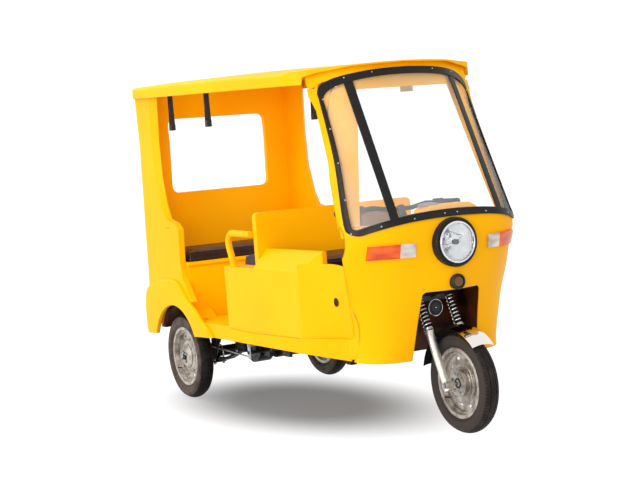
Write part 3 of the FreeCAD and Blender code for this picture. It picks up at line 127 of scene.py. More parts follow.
class Surface:
    """A material's tree with its shader, made ready for patterns."""

    def __init__(self, name: str) -> None:
        """Start an empty material with a shader joined to its output.

        Args:
            name: the material's name, after the real finish.
        """
        self.material = bpy.data.materials.new(name)
        self.material.use_nodes = True
        self.tree = self.material.node_tree
        self.tree.nodes.clear()
        self.shader = add_node(self.tree, "ShaderNodeBsdfPrincipled")
        output = add_node(self.tree, "ShaderNodeOutputMaterial")
        self.tree.links.new(self.shader.outputs[0], output.inputs[0])
        self.place = add_node(self.tree, "ShaderNodeTexCoord").outputs["Object"]

    def put(self, **values: object) -> None:
        """Set uniform values on the shader's own sockets, spaces written as underscores."""
        for key, value in values.items():
            self.shader.inputs[key.replace("_", " ")].default_value = value

    def feed(self, socket: str, source: NodeSocket) -> None:
        """Link a pattern into one of the shader's sockets."""
        self.tree.links.new(source, self.shader.inputs[socket])

    def noise(self, size_mm: float, detail: float = 3.0, stretch: Sequence[float] = (1, 1, 1)) -> NodeSocket:
        """Make a noise whose patches have a real size.

        Args:
            size_mm: how wide one patch is, in millimetres.
            detail: how many finer layers it has.
            stretch: how many times finer it is along each axis.

        Returns:
            The grey value socket.
        """
        mapped = add_node(self.tree, "ShaderNodeMapping", {"Scale": tuple(stretch)}, {0: self.place})
        cloud = add_node(self.tree, "ShaderNodeTexNoise",
                         {"Scale": 1000.0 / size_mm, "Detail": detail}, {0: mapped.outputs[0]})
        return cloud.outputs[0]

    def cells(self, size_mm: float) -> NodeSocket:
        """Make cells of a real size, such as leather grain: how far each place is from their edges."""
        cell = add_node(self.tree, "ShaderNodeTexVoronoi",
                        {"feature": "DISTANCE_TO_EDGE", "Scale": 1000.0 / size_mm}, {0: self.place})
        return cell.outputs[0]

    def span(self, source: NodeSocket, low: float, high: float, to_low: float = 0.0,
             to_high: float = 1.0) -> NodeSocket:
        """Stretch part of a pattern's values to a new range."""
        ranged = add_node(self.tree, "ShaderNodeMapRange",
                          {1: low, 2: high, 3: to_low, 4: to_high}, {0: source})
        return ranged.outputs[0]

    def blend(self, share: NodeSocket, first: tuple | NodeSocket, second: tuple | NodeSocket) -> NodeSocket:
        """Blend two colours by a share.

        Args:
            share: the pattern that gives the share of the second colour.
            first: the colour where the share is nought.
            second: the colour where it is one.

        Returns:
            The colour socket.
        """
        mix = add_node(self.tree, "ShaderNodeMix", {"data_type": "RGBA"})
        for index, value in ((0, share), (6, first), (7, second)):
            if isinstance(value, NodeSocket):
                self.tree.links.new(value, mix.inputs[index])
            else:
                mix.inputs[index].default_value = value
        return mix.outputs[2]

    def coordinate(self, axis: int) -> NodeSocket:
        """Give one coordinate of the place in metres: 0 is across, 1 along and 2 up."""
        return add_node(self.tree, "ShaderNodeSeparateXYZ", {}, {0: self.place}).outputs[axis]

    def width(self) -> NodeSocket:
        """Give the distance from the centre plane, in metres."""
        return add_node(self.tree, "ShaderNodeMath", {"operation": "ABSOLUTE"},
                        {0: self.coordinate(0)}).outputs[0]

    def reach(self, axle: tuple[float, float]) -> NodeSocket:
        """Give the distance from an axle line that runs across the vehicle.

        Args:
            axle: the line's Y and Z.

        Returns:
            The distance in metres.
        """
        far = add_node(self.tree, "ShaderNodeVectorMath", {"operation": "DISTANCE", 1: (0.0, *axle)},
                       {0: self.flat()})
        return far.outputs["Value"]

    def flat(self) -> NodeSocket:
        """Give the place with its X left out."""
        return add_node(self.tree, "ShaderNodeVectorMath", {"operation": "MULTIPLY", 1: (0.0, 1.0, 1.0)},
                        {0: self.place}).outputs[0]

    def facing(self, axle: tuple[float, float]) -> NodeSocket:
        """Give how far the surface faces away from an axle line: below nought where it faces the axle."""
        arm = add_node(self.tree, "ShaderNodeVectorMath", {"operation": "SUBTRACT", 1: (0.0, *axle)},
                       {0: self.flat()})
        way = add_node(self.tree, "ShaderNodeVectorMath", {"operation": "NORMALIZE"}, {0: arm.outputs[0]})
        normal = add_node(self.tree, "ShaderNodeNewGeometry").outputs["Normal"]
        dot = add_node(self.tree, "ShaderNodeVectorMath", {"operation": "DOT_PRODUCT"},
                       {0: normal, 1: way.outputs[0]})
        return dot.outputs["Value"]

    def times(self, first: NodeSocket, second: NodeSocket) -> NodeSocket:
        """Multiply two patterns."""
        product = add_node(self.tree, "ShaderNodeMath", {"operation": "MULTIPLY"}, {0: first, 1: second})
        return product.outputs[0]

    def ribs(self, pitch_mm: float, axis: str) -> NodeSocket:
        """Make parallel ribs with a real pitch, one after another along an axis."""
        wave = add_node(self.tree, "ShaderNodeTexWave",
                        {"bands_direction": axis, "Scale": 1000.0 / (pitch_mm * math.tau), "Distortion": 0.0},
                        {0: self.place})
        return wave.outputs[1]

    def relief(self, layers: Sequence[tuple[NodeSocket, float]], edge_mm: float = 0.0) -> None:
        """Raise the surface by patterns, each a real depth.

        Args:
            layers: each pattern with its depth in millimetres.
            edge_mm: radius by which hard edges are made to look rounded.
        """
        normal = None
        if edge_mm:
            normal = add_node(self.tree, "ShaderNodeBevel", {"samples": 4, "Radius": edge_mm * MM}).outputs[0]
        for pattern, depth_mm in layers:
            bump = add_node(self.tree, "ShaderNodeBump", {"Distance": depth_mm * MM}, {"Height": pattern})
            if normal is not None:
                self.tree.links.new(normal, bump.inputs["Normal"])
            normal = bump.outputs[0]
        self.feed("Normal", normal)


# Finishes


FINISHED: dict[str, Material] = {}


class Finish(ABC):
    """A real finish that makes its material once."""

    @abstractmethod
    def build(self) -> Material:
        """Make the material."""

    def material(self) -> Material:
        """Give the material, made on first use."""
        key = repr(self)
        if key not in FINISHED:
            FINISHED[key] = self.build()
        return FINISHED[key]


@dataclass(frozen=True)
class Cloud:
    """A noise that is stretched to a range.

    Attributes:
        size_mm: how wide one patch is.
        detail: how many finer layers it has.
        low: the noise's value where the range starts.
        high: its value where the range ends.
        ends: the range.
    """

    size_mm: float
    detail: float = 3.0
    low: float = 0.3
    high: float = 0.8
    ends: tuple[float, float] = (0.0, 1.0)

    def on(self, surface: Surface) -> NodeSocket:
        """Add the noise to a material's tree."""
        return surface.span(surface.noise(self.size_mm, self.detail), self.low, self.high, *self.ends)


@dataclass(frozen=True)
class Coating(Finish):
    """A finish of one colour, or of two in patches, with its own gloss and fine relief.

    Attributes:
        name: the material's name, after the real finish.
        colour: its main colour.
        patch: the colour of its patches.
        patches: where those lie, or None for one even colour.
        rough: the roughness, even or as a pattern.
        values: further values on the shader's own sockets.
        grain: layers of relief, each a patch width and a detail with its depth in millimetres.
        edge_mm: radius by which hard edges look rounded.
    """

    name: str
    colour: str
    patch: str = ""
    patches: Cloud | None = None
    rough: Cloud | float = 0.5
    values: tuple[tuple[str, float], ...] = ()
    grain: tuple[tuple[float, float, float], ...] = ()
    edge_mm: float = 0.0

    def build(self) -> Material:
        """Make the coating's material."""
        surface = Surface(self.name)
        surface.put(**dict(self.values))
        if self.patches is None:
            surface.put(Base_Color=srgb(self.colour))
        else:
            surface.feed("Base Color", surface.blend(self.patches.on(surface), srgb(self.colour),
                                                     srgb(self.patch)))
        if isinstance(self.rough, Cloud):
            surface.feed("Roughness", self.rough.on(surface))
        else:
            surface.put(Roughness=self.rough)
        surface.relief([(surface.noise(size, detail), depth) for size, detail, depth in self.grain],
                       self.edge_mm)
        return surface.material


def plated(name: str, colour: str) -> Coating:
    """Mirror-bright plating with a faint polishing haze."""
    return Coating(name, colour, rough=Cloud(14, 4.0, ends=(0.05, 0.16)), values=(("Metallic", 1.0),),
                   grain=((60, 1.0, 0.12),), edge_mm=1.0)


def zinc(name: str, colour: str) -> Coating:
    """Bright zinc or bare steel: grey, slightly milky."""
    return Coating(name, colour, rough=Cloud(6, 3.0, ends=(0.18, 0.4)), values=(("Metallic", 1.0),),
                   grain=((2.0, 3.0, 0.03),))


def moulded(name: str, colour: str) -> Coating:
    """Moulded polypropylene with a fine spark-eroded texture."""
    return Coating(name, colour, rough=Cloud(10, 3.0, ends=(0.4, 0.6)), values=(("IOR", 1.49),),
                   grain=((0.9, 3.0, 0.05),), edge_mm=1.0)


@dataclass(frozen=True)
class Gelcoat(Finish):
    """Pigmented gelcoat on glass-fibre laminate: slow waves of the mould, a little dust low down.

    Inside the rear wheel arches the laminate is raw and muddy, and its dark brown there is also painted
    shade: near the axle line, between the wheel house's inner wall and the body's side, on every face that
    doesn't turn away from the axle.
    """

    colour: str = "#ffb800"
    deep: str = "#ffb100"
    dust: str = "#f4a802"
    dust_from: float = 0.46  # height in metres where the dust starts
    dust_full: float = 0.34
    # raw laminate and mud: a dark brown that also paints the shade inside the rear arches
    raw_and_shade: str = "#4a1c0a"
    mud: str = "#2a1008"
    arch_reach: float = 0.336  # metres from the axle line
    arch_inner: float = 0.3503  # metres from the centre plane
    arch_outer: float = 0.5034

    def build(self) -> Material:
        """Make the body's material."""
        surface = Surface("gelcoat_fibreglass")
        surface.put(Roughness=0.45, IOR=1.5, Specular_IOR_Level=0.06, Coat_Weight=0.03, Coat_Roughness=0.08)
        shade = surface.blend(Cloud(420, 1.0, 0.35, 0.7).on(surface), srgb(self.colour), srgb(self.deep))
        low = surface.span(surface.coordinate(2), self.dust_from, self.dust_full)
        speck = Cloud(30, 6.0, 0.5, 0.8).on(surface)
        dusted = surface.blend(surface.times(low, speck), shade, srgb(self.dust))
        # painted shade with the raw laminate and mud: faces near the rear axle that face it turn dark brown
        near = surface.span(surface.reach(REAR_AXLE), self.arch_reach, self.arch_reach - 0.001)
        inside = surface.times(near, surface.span(surface.facing(REAR_AXLE), 0.35, 0.3))
        between = surface.times(surface.span(surface.width(), self.arch_inner, self.arch_inner + 0.0004),
                                surface.span(surface.width(), self.arch_outer, self.arch_outer - 0.0008))
        raw_and_shade = surface.blend(Cloud(26, 5.0, 0.35, 0.7).on(surface), srgb(self.raw_and_shade), srgb(self.mud))
        surface.feed("Base Color", surface.blend(surface.times(inside, between), dusted, raw_and_shade))
        surface.relief([(surface.noise(180, 1.0), 0.5), (surface.noise(3.5, 1.0), 0.015)], edge_mm=5.0)
        return surface.material


@dataclass(frozen=True)
class Leatherette(Finish):
    """PVC-coated cloth with a pebbled grain, embossed and satin."""

    colour: str = "#1c0e0a"
    worn: str = "#301910"
    grain_mm: float = 2.4  # real grain is about 1 mm, drawn coarser so that it shows

    def build(self) -> Material:
        """Make the seats' material."""
        surface = Surface("pvc_leatherette")
        surface.put(Roughness=0.4, IOR=1.5, Specular_IOR_Level=0.3, Coat_Weight=0.08, Coat_Roughness=0.25)
        grain = surface.cells(self.grain_mm)
        tone = surface.blend(Cloud(60, 4.0, 0.4, 0.75).on(surface), srgb(self.colour), srgb(self.worn))
        surface.feed("Base Color", tone)
        surface.relief([(surface.span(grain, 0.0, 0.35), 0.25), (surface.noise(40, 2.0), 0.6)])
        return surface.material


@dataclass(frozen=True)
class FenderPlate(Finish):
    """Chromium plate on the fender's front with a painted brown reflection towards its back, black paint and
    mud on the part behind the fork.
    """

    bright: str = "#e4dfda"
    reflected_brown: str = "#6d4a35"
    black: str = "#080707"
    border: float = -1.1125  # Y where the plated part ends, in metres

    def build(self) -> Material:
        """Make the fender's material."""
        surface = Surface("fender_chromium_plate")
        surface.put(Specular_IOR_Level=0.1)
        along = surface.coordinate(1)
        # painted reflection of the body: the plate's colour turns brown towards the fork
        reflected_brown = surface.span(along, self.border - 0.135, self.border - 0.07)
        plate = surface.blend(reflected_brown, srgb(self.bright), srgb(self.reflected_brown))
        behind = surface.span(along, self.border, self.border + 0.003)
        surface.feed("Base Color", surface.blend(behind, plate, srgb(self.black)))
        surface.feed("Metallic", surface.span(behind, 0.0, 1.0, 1.0, 0.0))
        surface.feed("Roughness", surface.span(behind, 0.0, 1.0, 0.12, 0.8))
        surface.relief([(surface.noise(60, 1.0), 0.12)], edge_mm=1.0)
        return surface.material


@dataclass(frozen=True)
class CastAlloy(Finish):
    """Sand-cast aluminium, clear lacquered, below; black enamel on the yoke and tubes above it."""

    colour: str = "#dcd6cc"
    shade: str = "#c3bcb2"
    enamel: str = "#100e0e"
    border: float = 0.480  # height of the sliders' tops, in metres

    def build(self) -> Material:
        """Make the fork's material."""
        surface = Surface("lacquered_cast_aluminium")
        above = surface.span(surface.coordinate(2), self.border, self.border + 0.002)
        cast = surface.blend(Cloud(30, 2.0, 0.35, 0.7).on(surface), srgb(self.colour), srgb(self.shade))
        surface.feed("Base Color", surface.blend(above, cast, srgb(self.enamel)))
        surface.feed("Metallic", surface.span(above, 0.0, 1.0, 0.85, 0.0))
        surface.feed("Roughness", Cloud(9, 4.0, ends=(0.34, 0.5)).on(surface))
        surface.relief([(surface.noise(1.1), 0.03)], edge_mm=1.2)
        return surface.material


@dataclass(frozen=True)
class TyreRubber(Finish):
    """Vulcanised carbon-black rubber: worn black tread, dried mud in the pores of its walls; the rear tyres'
    lighter wall colour is also painted light of their lit sides.
    """

    axle: tuple[float, float]
    wall: str
    colour: str = "#100d0c"
    dust: str = "#2e2621"
    wall_edge: float = 0.222  # radius where the wall ends and the tread begins, in metres

    def build(self) -> Material:
        """Make the tyre's material."""
        surface = Surface("vulcanised_tyre_rubber")
        surface.put(IOR=1.5, Specular_IOR_Level=0.2)
        tread = surface.blend(Cloud(45, 8.0, 0.48, 0.8).on(surface), srgb(self.colour), srgb(self.dust))
        wall = surface.blend(Cloud(60, 6.0, 0.3, 0.75).on(surface), srgb(self.wall), srgb(self.dust))
        outer = surface.span(surface.reach(self.axle), self.wall_edge - 0.004, self.wall_edge + 0.004)
        surface.feed("Base Color", surface.blend(outer, wall, tread))
        surface.feed("Roughness", Cloud(12, 4.0, ends=(0.55, 0.85)).on(surface))
        surface.relief([(surface.noise(1.5, 4.0), 0.12)])
        return surface.material


@dataclass(frozen=True)
class Lens(Finish):
    """Injection-moulded acrylic or pressed glass: glossy, with a ribbed inner face."""

    name: str
    colour: str
    shade: str
    rib_mm: float = 6.0
    clear: float = 0.0

    def build(self) -> Material:
        """Make a lamp lens material."""
        surface = Surface(self.name)
        surface.put(IOR=1.49, Transmission_Weight=self.clear, Coat_Weight=0.06, Coat_Roughness=0.03)
        pool = surface.span(surface.noise(60, 0.0, (1, 1, 2.2)), 0.3, 0.7)
        surface.feed("Base Color", surface.blend(pool, srgb(self.colour), srgb(self.shade)))
        surface.feed("Roughness", Cloud(8, 3.0, ends=(0.03, 0.12)).on(surface))
        surface.relief([(surface.ribs(self.rib_mm, "X"), 0.5)])
        return surface.material


@dataclass(frozen=True)
class RawLaminateAndShade(Finish):
    """Unpainted back of the glass-fibre laminate round the front wheel: dark resin, strands and mud, whose
    dark brown also paints the shade inside the tunnel.
    """

    # dark brown resin that is also painted shade for the inside of the wheel tunnel
    colour: str = "#5c2a10"
    strand: str = "#8a4518"
    mud: str = "#1c0b06"

    def build(self) -> Material:
        """Make the wheel tunnel's material."""
        surface = Surface("raw_laminate_and_painted_shade")
        surface.put(Roughness=0.55, IOR=1.5, Specular_IOR_Level=0.3)
        strands = surface.span(surface.noise(5, 4.0, (1, 1, 5)), 0.45, 0.7)
        resin = surface.blend(strands, srgb(self.colour), srgb(self.strand))
        surface.feed("Base Color", surface.blend(Cloud(120, 4.0, 0.35, 0.62).on(surface), resin,
                                                 srgb(self.mud)))
        surface.relief([(surface.noise(4, 3.0), 0.4)])
        return surface.material


@dataclass(frozen=True)
class LaminatedGlass(Finish):
    """Clear windscreen sheet: nearly unseen, with a thin reflection and a faint haze."""

    colour: str = "#eef6f4"
    cover: float = 0.11

    def build(self) -> Material:
        """Make the windscreen's material."""
        surface = Surface("clear_windscreen_sheet")
        surface.put(Base_Color=srgb(self.colour), Roughness=0.03, IOR=1.52)
        surface.feed("Alpha", Cloud(220, 3.0, ends=(self.cover * 0.7, self.cover * 1.3)).on(surface))
        surface.relief([(surface.noise(300, 1.0), 0.3)])
        return surface.material


@dataclass(frozen=True)
class Webbing(Finish):
    """Woven nylon webbing with ribs across it."""

    colour: str = "#171615"
    worn: str = "#2b2a28"
    rib_mm: float = 2.5

    def build(self) -> Material:
        """Make the hand straps' material."""
        surface = Surface("woven_nylon_webbing")
        surface.put(Roughness=0.82, Sheen_Weight=0.3, Sheen_Roughness=0.4)
        surface.feed("Base Color", surface.blend(surface.noise(3), srgb(self.colour), srgb(self.worn)))
        surface.relief([(surface.ribs(self.rib_mm, "Z"), 0.4)])
        return surface.material


class Look(Enum):
    """The finishes that the rickshaw's pieces choose from."""

    BODY = Gelcoat()
    SEAL = Coating("extruded_epdm_rubber", "#0e0b0b", "#1c1817", Cloud(18, 5.0, 0.4), 0.38,
                   (("IOR", 1.52), ("Specular_IOR_Level", 0.22)), ((1.6, 3.0, 0.05),), 3.0)
    SEAT = Leatherette()
    TAN = Leatherette("#8a5c3a", "#a6754c", 2.0)
    PIPING = Leatherette("#1a0e0a", "#2c1912", 1.6)
    CHROME = plated("chromium_plate", "#dcdde0")
    SMOKED = plated("smoked_lacquer_on_brass", "#6b5436")
    DARK_CHROME = plated("tarnished_nickel", "#4b4a48")
    FENDER = FenderPlate()
    WHEEL = Coating("silver_stoved_steel", "#bdb5ab", "#57493f", Cloud(38, 6.0, 0.42),
                    Cloud(22, 3.0, ends=(0.26, 0.5)), (("Metallic", 0.72),),
                    ((1.2, 1.0, 0.02), (30, 2.0, 0.15)), 1.5)
    ALLOY = CastAlloy()
    ZINC = zinc("zinc_plated_steel", "#b4b6b8")
    COIL = zinc("bright_spring_steel", "#ece8e2")
    # brushed-on enamel over mild steel, rougher where the mud has dried
    CHASSIS = Coating("black_enamelled_steel", "#0b0a0a", "#1f1813", Cloud(34, 8.0, 0.52, 0.75),
                      Cloud(34, 8.0, 0.52, 0.75, (0.34, 0.85)), (("IOR", 1.5), ("Specular_IOR_Level", 0.25)),
                      ((5, 4.0, 0.15),), 1.5)
    BATTERY = Coating("moulded_battery_case", "#23252b", "#33363c", Cloud(50, 3.0, 0.0, 1.0), 0.5,
                      (("IOR", 1.5),), ((2, 3.0, 0.1),), 2.0)
    # rear tyres: light brown walls, dried mud and also painted light of their lit side faces
    TYRE = TyreRubber(REAR_AXLE, "#5f5147")
    FRONT_TYRE = TyreRubber(FRONT_AXLE, "#37302c", "#1c1817", "#3a322d")
    AMBER = Lens("amber_acrylic_lens", "#f56200", "#cc3f00")
    RED = Lens("red_acrylic_lens", "#c11208", "#7d0903")
    CLEAR = Lens("clear_acrylic_lens", "#e2dbd2", "#b4a598")
    HEADLAMP = Lens("pressed_lamp_glass", "#fbfcfc", "#f2f4f4", 7.0, 0.97)
    LAMINATE_AND_SHADE = RawLaminateAndShade()
    SCREEN = LaminatedGlass()
    PLASTIC = moulded("moulded_polypropylene", "#121212")
    POD = moulded("grey_instrument_plastic", "#8a8798")
    TAB = moulded("tan_card", "#a98a5c")
    WEBBING = Webbing()

    def paint(self, piece: Object) -> Object:
        """Give a piece this finish in its only slot."""
        piece.data.materials.clear()
        piece.data.materials.append(self.value.material())
        return piece


# Shared mesh tools


def link(name: str, mesh: Mesh) -> Object:
    """Put a mesh in the scene as an object at the origin."""
    piece = bpy.data.objects.new(name, mesh)
    bpy.context.scene.collection.objects.link(piece)
    return piece


def from_bmesh(name: str, form: bmesh.types.BMesh, crease_deg: float = 35.0) -> Object:
    """Make an object of a bmesh, smooth but for its hard edges.

    Args:
        name: the piece's name.
        form: the mesh data, which is freed.
        crease_deg: edges that turn more than this stay sharp.

    Returns:
        The new object.
    """
    limit = math.radians(crease_deg)
    for face in form.faces:
        face.smooth = True
    for edge in form.edges:
        edge.smooth = len(edge.link_faces) == 2 and edge.calc_face_angle(0.0) < limit
    mesh = bpy.data.meshes.new(name)
    form.to_mesh(mesh)
    form.free()
    return link(name, mesh)


def merged_copy(node: str, name: str, crease_deg: float = 32.0) -> Object:
    """Copy a node's mesh with its points merged, so that curved walls shade smoothly.

    Args:
        node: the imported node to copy.
        name: the new piece's name.
        crease_deg: edges that turn more than this stay sharp.

    Returns:
        The new piece, which replaces the node and rides on its body.
    """
    source = frame["nodes"][node]
    form = bmesh.new()
    form.from_mesh(source.data)
    for layer in list(form.loops.layers.float_vector):
        form.loops.layers.float_vector.remove(layer)
    bmesh.ops.remove_doubles(form, verts=form.verts, dist=0.00003)
    piece = from_bmesh(name, form, crease_deg)
    if "custom_normal" in piece.data.attributes:
        piece.data.attributes.remove(piece.data.attributes["custom_normal"])
    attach(piece, source["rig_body"])
    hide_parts(node)
    return piece


def skin_rows(form: bmesh.types.BMesh, rows: Sequence[Sequence[Vector]], looped: bool = False) -> None:
    """Join closed rows of points with faces.

    Args:
        form: the mesh that gets the faces.
        rows: rows with the same number of points.
        looped: join the last row to the first.
    """
    grid = [[form.verts.new(point) for point in row] for row in rows]
    pairs = list(zip(grid, grid[1:]))
    if looped:
        pairs.append((grid[-1], grid[0]))
    for low, high in pairs:
        count = len(low)
        for index in range(count):
            after = (index + 1) % count
            form.faces.new((low[index], low[after], high[after], high[index]))


def close_ends(form: bmesh.types.BMesh) -> None:
    """Fill the open ends, merge doubles and turn every face outwards."""
    bmesh.ops.holes_fill(form, edges=[e for e in form.edges if e.is_boundary], sides=0)
    bmesh.ops.remove_doubles(form, verts=form.verts, dist=1e-6)
    bmesh.ops.recalc_face_normals(form, faces=form.faces)


def turned(name: str, profile: Sequence[tuple[float, float]], start: Vector, axis: Vector,
           segments: int = 48) -> Object:
    """Turn a profile about an axis, as on a lathe.

    Args:
        name: the piece's name.
        profile: distances along the axis and radii.
        start: where the axis starts.
        axis: its direction.
        segments: faces around.

    Returns:
        The closed piece.
    """
    spin = ACROSS.rotation_difference(axis.normalized()).to_matrix()
    turns = [math.tau * i / segments for i in range(segments)]
    rows = []
    for along, radius in profile:
        ring = max(radius, 1e-5)
        rows.append([start + spin @ Vector((along, ring * math.cos(t), ring * math.sin(t))) for t in turns])
    form = bmesh.new()
    skin_rows(form, rows)
    close_ends(form)
    return from_bmesh(name, form)


def smooth_path(points: Sequence[Vector], steps: int = 8) -> list[Vector]:
    """Points of a curve through the given ones.

    Args:
        points: the curve's own points.
        steps: pieces between two of them.

    Returns:
        A finer list of points.
    """
    ends = [points[0] * 2 - points[1], *points, points[-1] * 2 - points[-2]]
    path: list[Vector] = []
    for a, b, c, d in zip(ends, ends[1:], ends[2:], ends[3:]):
        for step in range(steps):
            t = step / steps
            path.append(0.5 * ((2 * b) + (c - a) * t + (2 * a - 5 * b + 4 * c - d) * t * t
                               + (3 * b - a - 3 * c + d) * t ** 3))
    path.append(points[-1].copy())
    return path


def headings(path: Sequence[Vector], closed: bool) -> list[Vector]:
    """Give the way that a path runs at each of its points."""
    count = len(path)
    ways = []
    for index, point in enumerate(path):
        before = path[index - 1] if index or closed else point
        after = path[(index + 1) % count] if index < count - 1 or closed else point
        ways.append((after - before).normalized())
    return ways


def swept(name: str, rows: Sequence[Sequence[Vector]], closed: bool, crease_deg: float = 35.0) -> Object:
    """Make a piece of the sections along a path, with its ends filled unless it is a loop."""
    form = bmesh.new()
    skin_rows(form, rows, looped=closed)
    if not closed:
        close_ends(form)
    bmesh.ops.recalc_face_normals(form, faces=form.faces)
    return from_bmesh(name, form, crease_deg)


def tube(name: str, path: Sequence[Vector], radius: float, sides: int = 14, closed: bool = False) -> Object:
    """Sweep a round section along a path.

    Args:
        name: the piece's name.
        path: the centre line.
        radius: the section's radius.
        sides: faces around it.
        closed: whether the path is a loop.

    Returns:
        The tube.
    """
    rows = []
    side = None
    for point, ahead in zip(path, headings(path, closed)):
        if side is None:
            side = ahead.orthogonal().normalized()
        side = (side - ahead * side.dot(ahead)).normalized()
        across = ahead.cross(side)
        rows.append([point + (side * math.cos(a) + across * math.sin(a)) * radius
                     for a in (math.tau * k / sides for k in range(sides))])
    return swept(name, rows, closed)


def ribbon(name: str, path: Sequence[Vector], across: Vector, width: float, thick: float) -> Object:
    """Sweep a flat band along a path.

    Args:
        name: the piece's name.
        path: the band's centre line.
        across: the way its width points.
        width: its width.
        thick: its thickness.

    Returns:
        The band.
    """
    rows = []
    side = across.normalized() * width / 2
    for point, ahead in zip(path, headings(path, False)):
        out = ahead.cross(across).normalized() * thick / 2
        rows.append([point - side - out, point + side - out, point + side + out, point - side + out])
    return swept(name, rows, False, 50.0)


def joined(name: str, parts: Sequence[Object]) -> Object:
    """Join several objects' meshes into one piece.

    Args:
        name: the new piece's name.
        parts: the objects, which are removed.

    Returns:
        One object with all their faces.
    """
    form = bmesh.new()
    for part in parts:
        form.from_mesh(part.data)
        old = part.data
        bpy.data.objects.remove(part)
        bpy.data.meshes.remove(old)
    mesh = bpy.data.meshes.new(name)
    form.to_mesh(mesh)
    form.free()
    return link(name, mesh)


def baked(piece: Object) -> Object:
    """Apply every modifier of a piece."""
    shown = piece.evaluated_get(bpy.context.evaluated_depsgraph_get())
    mesh = bpy.data.meshes.new_from_object(shown)
    piece.modifiers.clear()
    piece.data = mesh
    return piece


def block(low: Vector, high: Vector) -> bmesh.types.BMesh:
    """A plain block between two corners."""
    form = bmesh.new()
    place = Matrix.Translation((low + high) / 2) @ Matrix.Diagonal((*(high - low), 1))
    bmesh.ops.create_cube(form, size=1.0, matrix=place)
    return form


def slab(name: str, low: Sequence[float], high: Sequence[float], round_mm: float = 2.0) -> Object:
    """A block between two corners with rounded edges."""
    piece = from_bmesh(name, block(Vector(low), Vector(high)))
    cut = piece.modifiers.new("rounding", "BEVEL")
    cut.width = round_mm * MM
    cut.segments = 3
    cut.limit_method = "ANGLE"
    cut.angle_limit = math.radians(40)
    cut.harden_normals = False
    return baked(piece)


def extruded(name: str, outline: Sequence[Vector], move: Vector) -> Object:
    """Push a flat outline along a direction to a closed piece."""
    return swept(name, [list(outline), [p + move for p in outline]], False)


# Repeats along a line of points, made with Geometry Nodes


@dataclass
class Scatter:
    """Geometry Nodes tree that sets one fastener on every point of a carrier mesh."""

    name: str
    look: Look
    radius: float
    height: float
    sides: int = 6
    dome: bool = False

    def tree(self) -> tuple[NodeTree, dict[str, str]]:
        """Build the tree.

        Returns:
            The tree and its inputs' identifiers by name.
        """
        tree = bpy.data.node_groups.new(self.name, "GeometryNodeTree")
        face = tree.interface
        face.new_socket("Geometry", in_out="OUTPUT", socket_type="NodeSocketGeometry")
        face.new_socket("Geometry", in_out="INPUT", socket_type="NodeSocketGeometry")
        names = {label: face.new_socket(label, in_out="INPUT", socket_type="NodeSocket" + kind).identifier
                 for label, kind in (("Radius", "Float"), ("Height", "Float"), ("Sides", "Int"))}
        group = add_node(tree, "NodeGroupInput")
        if self.dome:
            body = add_node(tree, "GeometryNodeMeshIcoSphere", {"Subdivisions": 3},
                            {"Radius": group.outputs["Radius"]})
            size = add_node(tree, "ShaderNodeCombineXYZ", {0: 1.0, 1: 1.0})
            share = add_node(tree, "ShaderNodeMath", {"operation": "DIVIDE"},
                             {0: group.outputs["Height"], 1: group.outputs["Radius"]})
            tree.links.new(share.outputs[0], size.inputs[2])
            shaped = add_node(tree, "GeometryNodeTransform", {},
                              {0: body.outputs[0], "Scale": size.outputs[0]})
        else:
            body = add_node(tree, "GeometryNodeMeshCylinder", {"fill_type": "NGON"},
                            {"Vertices": group.outputs["Sides"], "Radius": group.outputs["Radius"],
                             "Depth": group.outputs["Height"]})
            shaped = body
        normal = add_node(tree, "GeometryNodeInputNamedAttribute",
                          {"data_type": "FLOAT_VECTOR", "Name": "facing"})
        turn = add_node(tree, "FunctionNodeAlignRotationToVector", {"axis": "Z"},
                        {"Vector": normal.outputs[0]})
        spread = add_node(tree, "GeometryNodeInstanceOnPoints", {},
                          {"Points": group.outputs["Geometry"], "Instance": shaped.outputs[0],
                           "Rotation": turn.outputs[0]})
        real = add_node(tree, "GeometryNodeRealizeInstances", {}, {0: spread.outputs[0]})
        dressed = add_node(tree, "GeometryNodeSetMaterial", {"Material": self.look.value.material()},
                           {0: real.outputs[0]})
        output = add_node(tree, "NodeGroupOutput")
        tree.links.new(dressed.outputs[0], output.inputs[0])
        return tree, names

    def spread(self, places: Sequence[tuple[Vector, Vector]], body: str, slot: str) -> Object:
        """Set the fasteners.

        Args:
            places: each fastener's centre and the way it faces.
            body: the body that carries them.
            slot: not used.

        Returns:
            The plain mesh piece.
        """
        mesh = bpy.data.meshes.new(self.name)
        mesh.from_pydata([tuple(p) for p, _ in places], [], [])
        layer = mesh.attributes.new("facing", "FLOAT_VECTOR", "POINT")
        for index, (_, way) in enumerate(places):
            layer.data[index].vector = way.normalized()
        piece = link(self.name, mesh)
        tree, names = self.tree()
        modifier = piece.modifiers.new("repeat", "NODES")
        modifier.node_group = tree
        for label, value in (("Radius", self.radius), ("Height", self.height), ("Sides", self.sides)):
            modifier[names[label]] = value
        baked(piece)
        for face in piece.data.polygons:
            face.use_smooth = self.dome
        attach(piece, body)
        return piece


# Places on the vehicle


def at(x: float, station: float, z: float) -> Vector:
    """Point from millimetres: half-width, distance behind the front axle, height."""
    return Vector((x * MM, FRONT_AXLE_Y + station * MM, z * MM))


def fit(piece: Object, look: Look, body: str) -> Object:
    """Give an added piece its finish and its body."""
    look.paint(piece)
    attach(piece, body)
    return piece


def stand_in(piece: Object, look: Look, body: str, node: str) -> Object:
    """Give a piece its finish and its body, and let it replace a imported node."""
    look.paint(piece)
    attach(piece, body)
    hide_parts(node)
    return piece


def dress(look: Look, **names: str) -> None:
    """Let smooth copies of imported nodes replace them.

    Args:
        look: the finish of them all.
        names: each node with its new piece's name.
    """
    for node, name in names.items():
        look.paint(merged_copy(node, name))


